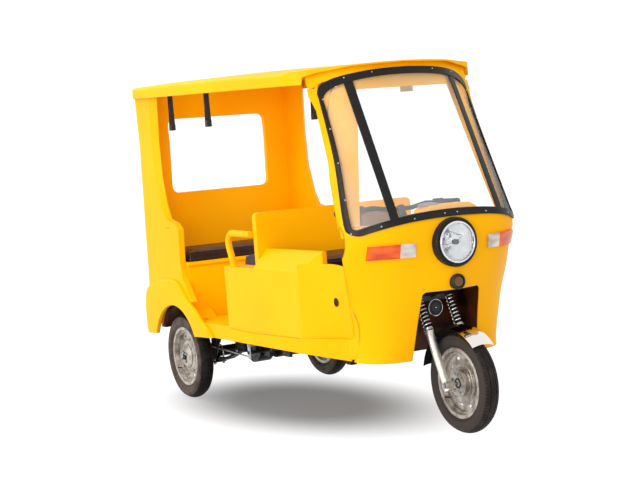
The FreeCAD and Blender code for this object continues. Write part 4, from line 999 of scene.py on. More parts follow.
def circle(radius: float, station: float, height: float, count: int) -> list[Vector]:
    """Points round a circle that faces forwards, on the centre plane, all in millimetres."""
    turns = (math.tau * i / count for i in range(count))
    return [at(radius * math.cos(t), station, height + radius * math.sin(t)) for t in turns]


TREES: dict[str, BVHTree] = {}


def search_tree(mesh: Mesh) -> BVHTree:
    """Make the search tree of a mesh."""
    form = bmesh.new()
    form.from_mesh(mesh)
    tree = BVHTree.FromBMesh(form)
    form.free()
    return tree


def node_tree(node: str) -> BVHTree:
    """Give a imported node's search tree, made on first use."""
    if node not in TREES:
        TREES[node] = search_tree(frame["nodes"][node].data)
    return TREES[node]


def in_front(node: str, x: float, z: float) -> tuple[Vector, Vector]:
    """Find a node's front surface at a half-width and a height, in millimetres.

    Args:
        node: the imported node.
        x: half-width.
        z: height.

    Returns:
        The point and the way that the surface faces there.
    """
    place, normal, _, _ = node_tree(node).ray_cast(at(x, -900, z), BACK, 3.0)
    return place, (normal if normal.y < 0 else -normal)


def beside(node: str, side: int, station: float, z: float) -> float | None:
    """Find the half-width of a node's outer surface at a station and a height, in millimetres."""
    place, _, _, _ = node_tree(node).ray_cast(at(side * 900, station, z), Vector((-side, 0, 0)), 3.0)
    return None if place is None else abs(place.x) / MM


# Padded seats


@dataclass
class Pad:
    """One seat pad: a cut cover that is swollen by cloth simulation inside its place."""

    node: str
    low: tuple[float, float, float]
    high: tuple[float, float, float]
    rise: tuple[int, int, int] = (0, 0, 1)
    margin_mm: float = 5.0
    dome_mm: float = 6.0
    cap_mm: float = 10.0
    cell_mm: float = 8.0
    piping_mm: float = 3.6
    piping_down_mm: float = 19.0
    look: Look = Look.SEAT
    edge_round: float = 0.012  # metres, as are the two below
    held_depth: float = 0.009
    piping_corner: float = 0.03
    pressure: float = 4.0

    def place(self) -> tuple[Vector, Vector]:
        """Give the corners of the pad's place."""
        return at(*self.low), at(*self.high)

    def cover(self) -> Object:
        """Make the cover before it is filled, smaller than its place and slightly domed."""
        low, high = self.place()
        way = Vector(self.rise)
        for axis in range(3):
            if self.rise[axis] >= 0:
                high[axis] -= (self.dome_mm + self.cap_mm if self.rise[axis] else self.margin_mm) * MM
            if self.rise[axis] <= 0:
                low[axis] += (self.dome_mm + self.cap_mm if self.rise[axis] else self.margin_mm) * MM
        form = block(low, high)
        bmesh.ops.bevel(form, geom=form.edges[:], offset=self.edge_round, segments=3, affect="EDGES",
                        profile=0.5)
        piece = from_bmesh(self.node + "_padding", form)
        even = piece.modifiers.new("even_cells", "REMESH")
        even.mode = "VOXEL"
        even.voxel_size = self.cell_mm * MM
        baked(piece)
        middle, half = (low + high) / 2, (high - low) / 2
        flat = [axis for axis in range(3) if not self.rise[axis]]
        for vertex in piece.data.vertices:
            share = [(vertex.co[axis] - middle[axis]) / half[axis] for axis in flat]
            lift = max(0.0, 1 - share[0] ** 4) * max(0.0, 1 - share[1] ** 2)
            deep = (vertex.co - middle).dot(way) / abs(half.dot(way))
            if deep > 0:
                vertex.co += way * lift * deep * self.dome_mm * MM
        return piece

    def fill(self, piece: Object) -> None:
        """Give the cover its cloth, held along the side that it rests on."""
        low, high = self.place()
        way = Vector(self.rise)
        base = min(low.dot(way), high.dot(way))
        held = piece.vertex_groups.new(name="held")
        resting = [v.index for v in piece.data.vertices if v.co.dot(way) < base + self.held_depth]
        held.add(resting, 1.0, "REPLACE")
        cloth = piece.modifiers.new("padding", "CLOTH")
        settings = cloth.settings
        settings.quality = 5
        settings.mass = 0.3
        settings.use_pressure = True
        settings.uniform_pressure_force = self.pressure
        settings.effector_weights.gravity = 0.0
        settings.vertex_group_mass = "held"
        cloth.point_cache.frame_start = 1
        cloth.point_cache.frame_end = CLOTH_FRAMES

    def settle(self, piece: Object) -> None:
        """Take the simulated shape over, with no point moved further than the cap."""
        shown = piece.evaluated_get(bpy.context.evaluated_depsgraph_get())
        count = len(piece.data.vertices)
        old = np.empty(count * 3)
        new = np.empty(count * 3)
        piece.data.vertices.foreach_get("co", old)
        shown.data.vertices.foreach_get("co", new)
        piece.modifiers.clear()
        move = (new - old).reshape(-1, 3)
        far = np.maximum(np.linalg.norm(move, axis=1), 1e-9)
        cap = self.cap_mm * MM
        move *= (cap * np.tanh(far / cap) / far)[:, None]
        low, high = self.place()
        result = np.clip(old.reshape(-1, 3) + move, np.array(low), np.array(high))
        piece.data.vertices.foreach_set("co", result.ravel())
        piece.data.update()

    def sewn_edge(self, piece: Object) -> Object:
        """Lay the piping on the pad, where its top and side covers are sewn together."""
        low, high = self.place()
        way = Vector(self.rise)
        first, second = ACROSS, way.cross(ACROSS)
        half_a = abs((high - low).dot(first)) / 2
        half_b = abs((high - low).dot(second)) / 2
        top = max(low.dot(way), high.dot(way)) - self.piping_down_mm * MM
        middle = (low + high) / 2
        middle += way * (top - middle.dot(way))
        tree = search_tree(piece.data)
        path = []
        for place, out in rounded_loop(half_a, half_b, self.piping_corner):
            start = middle + first * place[0] + second * place[1]
            aim = first * out[0] + second * out[1]
            found = tree.ray_cast(start + aim * 0.05, -aim, 0.2)[0]
            if found is not None:
                path.append(found)
        return tube(self.node + "_piping", path, self.piping_mm * MM, 10, closed=True)

    def finish(self, piece: Object) -> None:
        """Smooth the pad, add its piping and give both their finish and body."""
        edge = self.sewn_edge(piece)
        soft = piece.modifiers.new("finer", "SUBSURF")
        soft.levels = soft.render_levels = 1
        baked(piece)
        for face in piece.data.polygons:
            face.use_smooth = True
        stand_in(piece, self.look, "body", self.node)
        fit(edge, Look.PIPING, "body")


def rounded_loop(half_a: float, half_b: float, corner: float) -> list[tuple[tuple, tuple]]:
    """Points round a rectangle with round corners, each with the way outwards.

    Args:
        half_a: half of the first side.
        half_b: half of the second side.
        corner: the corners' radius.

    Returns:
        Pairs of a place and an outward direction, both as two numbers.
    """
    turns, straight = 8, 24
    signs = ((1, 1), (-1, 1), (-1, -1), (1, -1))

    def spot(sign: tuple[int, int], out: tuple[float, float]) -> tuple[float, float]:
        """Give the point of one corner's arc that faces a way."""
        return sign[0] * (half_a - corner) + corner * out[0], sign[1] * (half_b - corner) + corner * out[1]

    loop = []
    for quarter, sign in enumerate(signs):
        for step in range(turns + 1):
            angle = math.pi / 2 * (quarter + step / turns)
            out = (math.cos(angle), math.sin(angle))
            loop.append((spot(sign, out), out))
        start, end = loop[-1][0], spot(signs[(quarter + 1) % 4], out)
        for step in range(1, straight):
            share = step / straight
            loop.append((tuple(a + (b - a) * share for a, b in zip(start, end)), out))
    return loop


@dataclass
class Seats:
    """The driver's seat, the two benches and the two backrests."""

    pads: tuple[Pad, ...] = (
        Pad("driver_cushion", (-395, 605, 750), (395, 1071, 832)),
        Pad("front_bench_cushion", (-395, 1113, 750), (395, 1410, 832)),
        Pad("rear_bench_cushion", (-461, 1935, 774), (461, 2390, 842)),
        Pad("driver_backrest", (120, 1040, 850), (345, 1071.7, 1022), (0, -1, 0), cell_mm=6.0,
            dome_mm=5.0, cap_mm=8.0, piping_down_mm=12.0, look=Look.TAN),
        Pad("front_bench_backrest", (-370, 1112.3, 856), (370, 1152.3, 1022), (0, 1, 0), cell_mm=6.0,
            dome_mm=5.0, cap_mm=8.0, piping_down_mm=12.0),
    )

    def build(self) -> None:
        """Make every pad and swell them all in one run of frames."""
        covers = [pad.cover() for pad in self.pads]
        for pad, cover in zip(self.pads, covers):
            pad.fill(cover)
        for number in range(1, CLOTH_FRAMES + 1):
            bpy.context.scene.frame_set(number)
        for pad, cover in zip(self.pads, covers):
            pad.settle(cover)
        for pad, cover in zip(self.pads, covers):
            pad.finish(cover)
        log.info("seats ready, simulated: %s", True)


# Tyres and wheels


@dataclass
class Tyre:
    """Tyre with ribs, zigzag grooves and notched shoulders, built row by row, in millimetres."""

    node: str
    body: str
    x: float
    station: float
    radius: float
    look: Look = Look.TYRE
    pitches: int = 84
    groove: float = 4.0
    notch: float = 3.2
    middle_groove: float = 2.0
    zigzag: float = 1.8
    zigzag_to: float = 20.0  # half-width of the part that swings
    crown_drop: float = 0.0105  # how fast the crown falls with the square of the width
    pitch_rows: tuple[float, ...] = (0.0, 0.10, 0.14, 0.34, 0.38, 0.70)
    # half of the tread's columns: width and kind
    columns: tuple[tuple[float, str], ...] = (
        (1.3, "top"), (7.0, "top"), (11.6, "top"), (12.6, "groove"), (15.8, "groove"), (16.8, "top"),
        (21.5, "top"), (22.4, "notch"), (30.0, "notch"), (36.4, "notch"), (37.4, "edge"))
    # one wall's columns from the tread to the bead: width and depth below the crown
    wall: tuple[tuple[float, float], ...] = (
        (39.6, 18), (42.4, 24), (44.0, 31), (44.9, 32), (44.9, 34), (44.4, 35), (44.8, 42), (44.0, 50),
        (42.8, 55), (41.2, 58.5), (40.2, 59), (38.6, 61.5), (37.2, 62), (34.0, 66.5), (30.0, 69.0),
        (28.9, 72), (28.7, 82))

    def row(self, turn: float, share: float) -> list[Vector]:
        """Give one row of points round the section.

        Args:
            turn: the row's angle.
            share: how far it is along its pitch, from 0 to 1.

        Returns:
            The section's points, from the left bead over the tread to the right bead.
        """
        swing = self.zigzag * (1 - 4 * abs(share - 0.5))
        cuts = {"groove": self.groove, "notch": self.notch if 0.12 < share < 0.36 else 0.0}
        crown = [(0.0, self.radius - self.middle_groove)]
        crown += [(x, self.radius - self.crown_drop * x * x - cuts.get(kind, 0.0)) for x,
                  kind in self.columns]
        points = []
        for sign in (-1, 1):
            tread = [(sign * x + (swing if x < self.zigzag_to else 0), r) for x, r in crown]
            wall = [(sign * x, self.radius - deep) for x, deep in self.wall]
            points += wall[::-1] + tread[:0:-1] if sign < 0 else tread + wall
        centre = at(self.x, self.station, self.radius)
        return [centre + Vector((x * MM, r * MM * math.sin(turn), r * MM * math.cos(turn))) for x,
                r in points]

    def build(self) -> None:
        """Make the tyre and let it stand for its node."""
        rows = [self.row(math.tau * (pitch + share) / self.pitches, share)
                for pitch in range(self.pitches) for share in self.pitch_rows]
        stand_in(swept(self.node + "_tread", rows, True, 40.0), self.look, self.body, self.node)


@dataclass
class RoadWheel:
    """Pressed steel wheel with the studs, nuts, valve and ribs that are fixed to it."""

    node: str
    body: str
    x: float
    station: float
    height: float
    outward: int
    face: float = 34.0
    stud_circle: float = 33.0
    studs: int = 4
    stud_reach: float = 14.0

    def spot(self, out: float, radius: float, turn: float) -> Vector:
        """Give a point of the wheel: distance outwards, radius and angle."""
        return at(self.x + self.outward * out, self.station + radius * math.sin(turn),
                  self.height + radius * math.cos(turn))

    def build(self) -> None:
        """Dress the wheel."""
        way = Vector((self.outward, 0, 0))
        dress(Look.WHEEL, **{self.node: self.node + "_pressing"})
        turns = [math.tau * (i + 0.3) / self.studs for i in range(self.studs)]
        for label, radius, height, sides, out in (("nuts", 9, 8, 6, 3.8),
                                                  ("studs", 4.5, self.stud_reach, 14, self.stud_reach / 2)):
            places = [(self.spot(self.face + out, self.stud_circle, t), way) for t in turns]
            fasteners = Scatter(f"{self.node}_{label}", Look.ZINC, radius * MM, height * MM, sides)
            fasteners.spread(places, self.body, "silver_steel")
        profile = [(-0.001, 0.017), (0.003, 0.017), (0.003, 0.022), (0.001, 0.024), (-0.001, 0.024)]
        hub = turned(self.node + "_hub_ring", profile, self.spot(self.face, 0, 0), way, 40)
        fit(hub, Look.CHASSIS, self.body)
        self.rings()
        stem = [self.spot(out, radius, 2.2) for out, radius in ((10, 138), (22, 132), (40, 127))]
        fit(tube(self.node + "_valve", stem, 3.6 * MM, 12), Look.SEAL, self.body)

    def rings(self) -> None:
        """Add the rolled beads of the rim and the drum's edge."""
        for label, out, radius, thick in (("rim_bead", 31, 162.5, 2.4), ("drum_bead", 12, 69, 2.2),
                                          ("dish_bead", 16, 96, 1.8), ("well_bead", 24, 149.5, 1.6)):
            for side in (1, -1):
                path = [self.spot(out * side, radius, math.tau * i / 96) for i in range(96)]
                piece = tube(f"{self.node}_{label}_{'outer' if side > 0 else 'inner'}", path, thick * MM, 8,
                             closed=True)
                fit(piece, Look.WHEEL, self.body)


@dataclass
class RunningGear:
    """All three wheels with their tyres."""

    wheels: tuple[RoadWheel, ...] = (
        RoadWheel("front_wheel", "front_wheel", 0, 0, FRONT_RADIUS, -1, studs=6, stud_circle=48,
                  stud_reach=10),
        RoadWheel("rear_wheel_left", "rear_wheel_left", REAR_X, REAR_STATION, REAR_RADIUS, 1),
        RoadWheel("rear_wheel_right", "rear_wheel_right", -REAR_X, REAR_STATION, REAR_RADIUS, -1),
    )
    tyres: tuple[Tyre, ...] = (
        Tyre("front_tyre", "front_wheel", 0, 0, FRONT_RADIUS, Look.FRONT_TYRE),
        Tyre("rear_tyre_left", "rear_wheel_left", REAR_X, REAR_STATION, REAR_RADIUS),
        Tyre("rear_tyre_right", "rear_wheel_right", -REAR_X, REAR_STATION, REAR_RADIUS),
    )

    def build(self) -> None:
        """Dress them all."""
        for part in (*self.wheels, *self.tyres):
            part.build()
        log.info("wheels and tyres ready")


# Front fork and what turns with it


STEER_WAY = Vector((0, math.sin(RAKE), math.cos(RAKE)))


def on_steering(offset: float, height: float, x: float = 0.0) -> Vector:
    """Point on a line along the steering rake, an offset ahead of the stem's axis, in millimetres."""
    trail = 53  # millimetres from the front axle to the stem's axis
    return at(x, (trail - offset) / math.cos(RAKE) + math.tan(RAKE) * (height - FRONT_RADIUS), height)


@dataclass
class FrontFork:
    """Telescopic fork with coils, boots and collars, its fender, horn and handlebar."""

    leg_half_gap: float = 85.0
    leg_offset: float = 35.0  # millimetres from the stem's axis to the legs' axes
    horn_height: float = 570.0
    coil_turns: int = 9
    coil_radius: float = 19.0
    wire_radius: float = 3.0
    coil_low: float = 485.0
    coil_high: float = 615.0

    def coil(self, side: int) -> Object:
        """Wind one round-wire spring, its ends closed flat."""
        start, end = (on_steering(self.leg_offset, height, side * self.leg_half_gap)
                      for height in (self.coil_low, self.coil_high))
        first = STEER_WAY.orthogonal().normalized()
        second = STEER_WAY.cross(first)
        path = []
        steps = self.coil_turns * 18
        for index in range(steps + 1):
            share = index / steps
            rise = min(max((share - 0.06) / 0.88, 0.0), 1.0)
            turn = math.tau * self.coil_turns * share
            around = (first * math.cos(turn) + second * math.sin(turn)) * self.coil_radius * MM
            path.append(start + (end - start) * rise + around)
        return tube("fork_coil", path, self.wire_radius * MM, 10)

    def legs(self) -> None:
        """Add the coils, and a collar, a rubber boot and a spring seat to each leg."""
        coils = joined("fork_coils", [self.coil(-1), self.coil(1)])
        stand_in(coils, Look.COIL, "steering", "fork_springs")
        rings = [(along + ring * 0.0098, radius) for ring in range(15)
                 for along, radius in ((0.004, 0.0146), (0.0075, 0.0163))]
        turnings = (
            ("fork_collar_", Look.ALLOY, "alloy", 40,
             [(-0.016, 0.0188), (-0.015, 0.0212), (-0.002, 0.0218), (0, 0.021), (0.001, 0.0145)]),
            ("fork_boot_", Look.SEAL, "black_rubber", 28, [(0.0, 0.0142), *rings, (0.1515, 0.0142)]),
            ("spring_seat_", Look.ZINC, "alloy", 36,
             [(0, 0.0145), (0, 0.0235), (0.004, 0.0245), (0.006, 0.0225), (0.006, 0.0145)]))
        for side, label in SIDES:
            top = on_steering(self.leg_offset, 478, side * self.leg_half_gap)
            for name, look, slot, faces, profile in turnings:
                fit(turned(name + label, profile, top, STEER_WAY, faces), look, "steering")
            self.bracket(side, label)

    def bracket(self, side: int, label: str) -> None:
        """Add the lug with its bolt on the inner side of a slider, and the drain screw below."""
        x = side * self.leg_half_gap
        middle = on_steering(self.leg_offset, 446, x) + Vector((-side * 0.017, 0, 0))
        half = Vector((0.009, 0.004, 0.012))
        fit(slab("slider_lug_" + label, middle - half, middle + half, 1.2), Look.ALLOY, "steering")
        foot = on_steering(self.leg_offset, 222, x)
        for name, radius, height, place in (("slider_bolts_", 5.5, 5, middle + Vector((0, -0.0065, 0))),
                                            ("drain_screws_", 4.5, 3.5, foot + Vector((0, -0.02, 0)))):
            screw = Scatter(name + label, Look.ZINC, radius * MM, height * MM)
            screw.spread([(place, FORWARD)], "steering", "alloy")

    def horn(self) -> None:
        """Add the horn's bright rim, its face's bead and its centre screw."""
        rim = tube("horn_rim", circle(38.4, 191, self.horn_height, 72), 2.0 * MM, 10, closed=True)
        fit(rim, Look.CHROME, "steering")
        bead = tube("horn_face_bead", circle(27, 185.6, self.horn_height, 60), 1.1 * MM, 8, closed=True)
        fit(bead, Look.CHASSIS, "steering")
        screw = Scatter("horn_screw", Look.ZINC, 5 * MM, 3 * MM, dome=True)
        screw.spread([(at(0, 186, self.horn_height), FORWARD)], "steering", "alloy")

    def bars(self) -> None:
        """Add the grips, the levers and the switch pods."""
        middle = on_steering(0, 1035)
        for side, label in SIDES:
            inner = middle + Vector((side * 0.245, 0.0150, 0.0103))
            outer = middle + Vector((side * 0.352, 0.0201, 0.005))
            way = outer - inner
            rows = [(0, 0.0112), (0, 0.021), (0.004, 0.021), (0.006, 0.0162)]
            for ring in range(11):
                rows += [(0.010 + ring * 0.0085, 0.0158), (0.014 + ring * 0.0085, 0.0164)]
            rows += [(way.length - 0.003, 0.016), (way.length + 0.002, 0.0105)]
            grip = turned("hand_grip_" + label, rows, inner, way, 28)
            fit(grip, Look.SEAL, "steering")
            lever = smooth_path([inner + Vector((-side * 0.03, -0.012, -0.006)),
                                 inner + Vector((0, -0.03, -0.012)),
                                 inner + way * 0.5 + Vector((0, -0.042, -0.016)),
                                 outer + Vector((0, -0.034, -0.016))], 6)
            fit(tube("hand_lever_" + label, lever, 4.2 * MM, 12), Look.ALLOY, "steering")
            switch = slab("switch_pod_" + label, inner + Vector((-0.02 - side * 0.022, -0.02, -0.018)),
                          inner + Vector((0.02 - side * 0.022, 0.018, 0.02)), 6.0)
            fit(switch, Look.PLASTIC, "steering")

    def build(self) -> None:
        """Dress the fork, fender, horn and handlebar."""
        dress(Look.ALLOY, fork="fork_castings")
        dress(Look.FENDER, front_fender="fender_pressing")
        dress(Look.ZINC, front_axle="front_spindle")
        dress(Look.PLASTIC, disc_horn="horn_body", handlebar="handlebar_tube")
        self.legs()
        self.horn()
        self.bars()
        log.info("fork ready")


# Lamps


@dataclass
class Lamps:
    """Headlamp, turn lamps, tail lamps and the lock boss."""

    height: float = 884.0
    boss_height: float = 702.0
    lens_front: float = -45.5

    def lens(self) -> None:
        """Make the headlamp's domed glass, its bulb's shield and the shield's stays."""
        profile = [(0.0005, 0.0), (0.0008, 0.020), (0.003, 0.040), (0.0066, 0.060), (0.0118, 0.078),
                   (0.0155, 0.0866), (0.0185, 0.0872), (0.0192, 0.0858), (0.0152, 0.077), (0.010, 0.060),
                   (0.0064, 0.040), (0.0044, 0.020), (0.004, 0.0)]
        glass = turned("headlamp_glass", profile, at(0, self.lens_front, self.height), BACK, 96)
        stand_in(glass, Look.HEADLAMP, "body", "headlamp_lens")
        profile = [(0, 0.0), (0.001, 0.009), (0.004, 0.0125), (0.022, 0.0125), (0.030, 0.009),
                   (0.034, 0.0085), (0.034, 0.0)]
        bulb = turned("bulb_shield", profile, at(0, -28, self.height), BACK, 32)
        fit(bulb, Look.DARK_CHROME, "body")
        for index, (dx, dz) in enumerate(((-1.0, -0.18), (0.9, 0.45))):
            stay = tube(f"bulb_stay_{index}", [at(far * dx, station, self.height + far * dz)
                                               for far, station in ((11, -12), (50, -6))], 1.3 * MM, 8)
            fit(stay, Look.DARK_CHROME, "body")

    def ring_beads(self) -> None:
        """Add the rolled bead of the chrome ring and its clamp screw."""
        for label, radius, station, thick in (("outer", 93.6, -33.5, 2.4), ("inner", 88.6, -36.4, 1.5)):
            bead = tube("headlamp_bead_" + label, circle(radius, station, self.height, 120), thick * MM, 10,
                        closed=True)
            fit(bead, Look.CHROME, "body")
        screw = Scatter("headlamp_screw", Look.ZINC, 3.6 * MM, 3 * MM, dome=True)
        screw.spread([(at(0, -33, self.height - 93.5), Vector((0, -1, -0.4)))], "body", "chrome")

    def boss(self) -> None:
        """Dress the lock boss and its smoked bright face."""
        dress(Look.PLASTIC, front_boss="lock_boss")
        profile = [(0.0, 0.0), (0.0006, 0.010), (0.002, 0.019), (0.0045, 0.0255), (0.0065, 0.0272),
                   (0.009, 0.0272), (0.009, 0.0)]
        face = turned("lock_face", profile, at(0, -26, self.boss_height), BACK, 48)
        fit(face, Look.SMOKED, "body")
        rim = tube("lock_rim", circle(27.6, -24.4, self.boss_height, 60), 1.2 * MM, 8, closed=True)
        fit(rim, Look.PLASTIC, "body")

    def build(self) -> None:
        """Dress all the lamps."""
        dress(Look.SEAL, headlamp_surround="headlamp_bezel")
        dress(Look.CHROME, headlamp_ring="headlamp_reflector")
        dress(Look.AMBER, indicators_amber="turn_lamp_amber")
        dress(Look.CLEAR, indicators_clear="turn_lamp_clear")
        dress(Look.RED, tail_lamps="tail_lamp_red")
        self.lens()
        self.ring_beads()
        self.boss()
        log.info("lamps ready")


# Inside the cab


@dataclass
class Cabin:
    """Straps, meter pod and the small things fixed to the mouldings."""

    straps: tuple[tuple[float, float], ...] = ((-400, 1668), (-400, 2150), (370, 1880))
    strap_top: float = 1742.0
    strap_bottom: float = 1510.0
    rail_foot_x: float = 478.0

    def strap(self, index: int, x: float, station: float) -> Object:
        """Hang one webbing loop with its folded, stitched end."""
        low = self.strap_bottom
        sides = [(5, self.strap_top), (6, low + 150), (9, low + 70), (13, low + 30), (14.5, low + 12),
                 (13, low + 3), (0, low + 1.5)]
        path = [at(x, station - s, z) for s, z in sides]
        path += [at(x, station + s, z) for s, z in reversed(sides[:-1])]
        loop = ribbon(f"strap_loop_{index}", smooth_path(path, 4), ACROSS, 26 * MM, 2.2 * MM)
        fold = slab(f"strap_fold_{index}", at(x - 14, station - 16, low),
                    at(x + 14, station + 16, low + 34), 3.0)
        bridge = slab(f"strap_bridge_{index}", at(x - 13.5, station - 8, low + 96),
                      at(x + 13.5, station + 8, low + 122), 2.0)
        return joined(f"strap_{index}", [loop, fold, bridge])

    def build(self) -> None:
        """Add everything inside."""
        loops = joined("hand_straps", [self.strap(i, x, s) for i, (x, s) in enumerate(self.straps)])
        stand_in(loops, Look.WEBBING, "body", "grab_straps")
        profile = [(-0.004, 0.0), (-0.004, 0.047), (0.001, 0.048), (0.004, 0.046), (0.009, 0.036),
                   (0.0115, 0.02), (0.0122, 0.0)]
        fit(turned("meter_pod", profile, at(-52, 112, 1057), UP, 48), Look.POD, "body")
        tab = slab("header_tab", at(-12, 336, 1590), at(58, 339, 1616), 1.2)
        fit(tab, Look.TAB, "body")
        self.rail_feet()
        log.info("cabin ready")

    def rail_feet(self) -> None:
        """Give each handrail's foot a plate with two bolts."""
        places = [(at(side * self.rail_foot_x, station, 777.4), UP) for side, _ in SIDES
                  for station in (1306, 1340)]
        bolts = Scatter("rail_foot_bolts", Look.ZINC, 5 * MM, 4 * MM, dome=True)
        bolts.spread(places, "body", "yellow_tube")
        profile = [(0, 0.0), (0, 0.030), (0.0025, 0.030), (0.004, 0.026), (0.004, 0.0)]
        for side, label in SIDES:
            foot = turned("rail_foot_" + label, profile, at(side * self.rail_foot_x, 1322, 776.3), UP, 40)
            fit(foot, Look.BODY, "body")


# Windscreen


@dataclass
class Screen:
    """The windscreen's sheet, its rubber seal and the rivets in it."""

    rivets: tuple[tuple[float, float], ...] = (
        (452, 962), (349, 987), (196, 1008), (34, 1019), (437, 1114), (421, 1282), (411, 1441), (404, 1580),
        (300, 1674), (169, 1692))

    def build(self) -> None:
        """Dress the glass and the seal."""
        dress(Look.SCREEN, windscreen_glass="windscreen_sheet")
        Look.SEAL.paint(merged_copy("windscreen_seal", "windscreen_rubber", 40.0))
        places = [in_front("windscreen_seal", side * x, z) for x, z in self.rivets for side in (-1, 1)]
        Scatter("seal_rivets", Look.ZINC, 3.8 * MM, 2.4 * MM, dome=True).spread(places, "body", "alloy")
        log.info("windscreen ready")


# Under the floor


@dataclass
class Underside:
    """Chassis, springs and axle with their bolts, shackles, helper leaves, dampers and brackets."""

    rail_x: float = 280.0
    damper_x: float = 345.0
    u_bolt_half: tuple[float, float] = (27.0, 36.0)  # across and along
    shackle_half: float = 26.0

    def u_bolts(self) -> None:
        """Clamp each leaf spring to the axle with two U-bolts and a plate."""
        across, along = self.u_bolt_half
        ends = (REAR_STATION - along, REAR_STATION + along)
        turns = [math.pi * i / 12 for i in range(13)]
        for side, label in SIDES:
            middle = side * self.rail_x
            for step, x in enumerate((middle - across, middle + across)):
                arc = [at(x, REAR_STATION - along * math.cos(t), REAR_RADIUS + along * math.sin(t))
                       for t in turns]
                path = [at(x, ends[0], 170), *arc, at(x, ends[1], 170)]
                fit(tube(f"u_bolt_{label}_{step}", path, 5 * MM, 12), Look.ZINC, "body")
            plate = slab("spring_plate_" + label, at(middle - 38, REAR_STATION - 52, 182),
                         at(middle + 38, REAR_STATION + 52, 190), 2.0)
            fit(plate, Look.CHASSIS, "body")
            nuts = Scatter("u_bolt_nuts_" + label, Look.ZINC, 9 * MM, 9 * MM)
            nuts.spread([(at(x, station, 177), -UP) for x in (middle - across, middle + across)
                         for station in ends], "body", "black_frame")

    def shackles(self) -> None:
        """Add the shackle plates, their bolts and the helper leaf."""
        for side, label in SIDES:
            middle = side * self.rail_x
            for end, station in (("front", 1739), ("rear", 2419)):
                for step, dx in enumerate((-self.shackle_half, self.shackle_half)):
                    x = middle + dx
                    plate = slab(f"shackle_{label}_{end}_{step}", at(x - 2.5, station - 16, 262),
                                 at(x + 2.5, station + 16, 340), 1.5)
                    fit(plate, Look.CHASSIS, "body")
                bolts = Scatter(f"shackle_bolts_{label}_{end}", Look.ZINC, 10 * MM, 8 * MM)
                bolts.spread([(at(middle + dx, station, z), Vector((dx, 0, 0)))
                              for dx in (-32, 32) for z in (276, 330)], "body", "black_frame")
            leaf = [at(middle, REAR_STATION + far, z)
                    for far, z in ((-210, 222), (-100, 198), (0, 188), (100, 198), (210, 222))]
            fit(ribbon("helper_leaf_" + label, smooth_path(leaf, 5), ACROSS, 42 * MM, 6 * MM), Look.CHASSIS,
                "body")

    def hangers(self) -> None:
        """Add the brackets below the right rail, the brake shaft and the dampers."""
        boxes = (("rail_bracket_a", (-322, 1480, 288), (-296, 1530, 372)),
                 ("rail_bracket_b", (-330, 1610, 300), (-300, 1700, 378)),
                 ("rail_bracket_c", (-316, 1100, 296), (-300, 1180, 350)),
                 ("cable_clip_a", (-340, 1250, 318), (-322, 1275, 350)),
                 ("shell_bracket", (-330, 452, 318), (-296, 500, 372)))
        for name, low, high in boxes:
            fit(slab(name, at(*low), at(*high), 3.0), Look.CHASSIS, "body")
        shaft = tube("brake_shaft", [at(-388, 1440, 300), at(388, 1440, 300)], 9 * MM, 16)
        fit(shaft, Look.CHASSIS, "body")
        profile = [(0, 0.010), (0, 0.024), (0.11, 0.024), (0.115, 0.028), (0.21, 0.028), (0.215, 0.012),
                   (0.235, 0.012)]
        for side, label in SIDES:
            low, high = (at(side * self.damper_x, station, z) for station, z in ((1990, 225), (1860, 420)))
            fit(turned("damper_" + label, profile, low, high - low, 32), Look.CHASSIS, "body")

    def build(self) -> None:
        """Dress the underside."""
        dress(Look.CHASSIS, chassis_frame="ladder_frame", leaf_springs="main_leaves",
              rear_axle="axle_casting")
        dress(Look.BATTERY, battery_block="battery_cases")
        dress(Look.ZINC, brake_rods="brake_linkage")
        self.u_bolts()
        self.shackles()
        self.hangers()
        log.info("underside ready")


# The photograph's view and a plain studio


@dataclass(frozen=True)
class Softbox:
    """One soft square lamp: where it stands and points, its side in metres and its power in watts."""

    name: str
    place: tuple[float, float, float]
    aim: tuple[float, float, float]
    size: float
    watts: float
    hidden: bool = False  # kept out of the picture and the reflections

    def build(self) -> None:
        """Add the lamp."""
        data = bpy.data.lights.new(self.name, "AREA")
        data.shape = "SQUARE"
        data.size = self.size
        data.energy = self.watts
        lamp = bpy.data.objects.new(self.name, data)
        lamp.location = self.place
        way = Vector(self.aim) - Vector(self.place)
        lamp.rotation_euler = way.to_track_quat("-Z", "Y").to_euler()
        lamp.visible_camera = lamp.visible_glossy = not self.hidden
        bpy.context.scene.collection.objects.link(lamp)


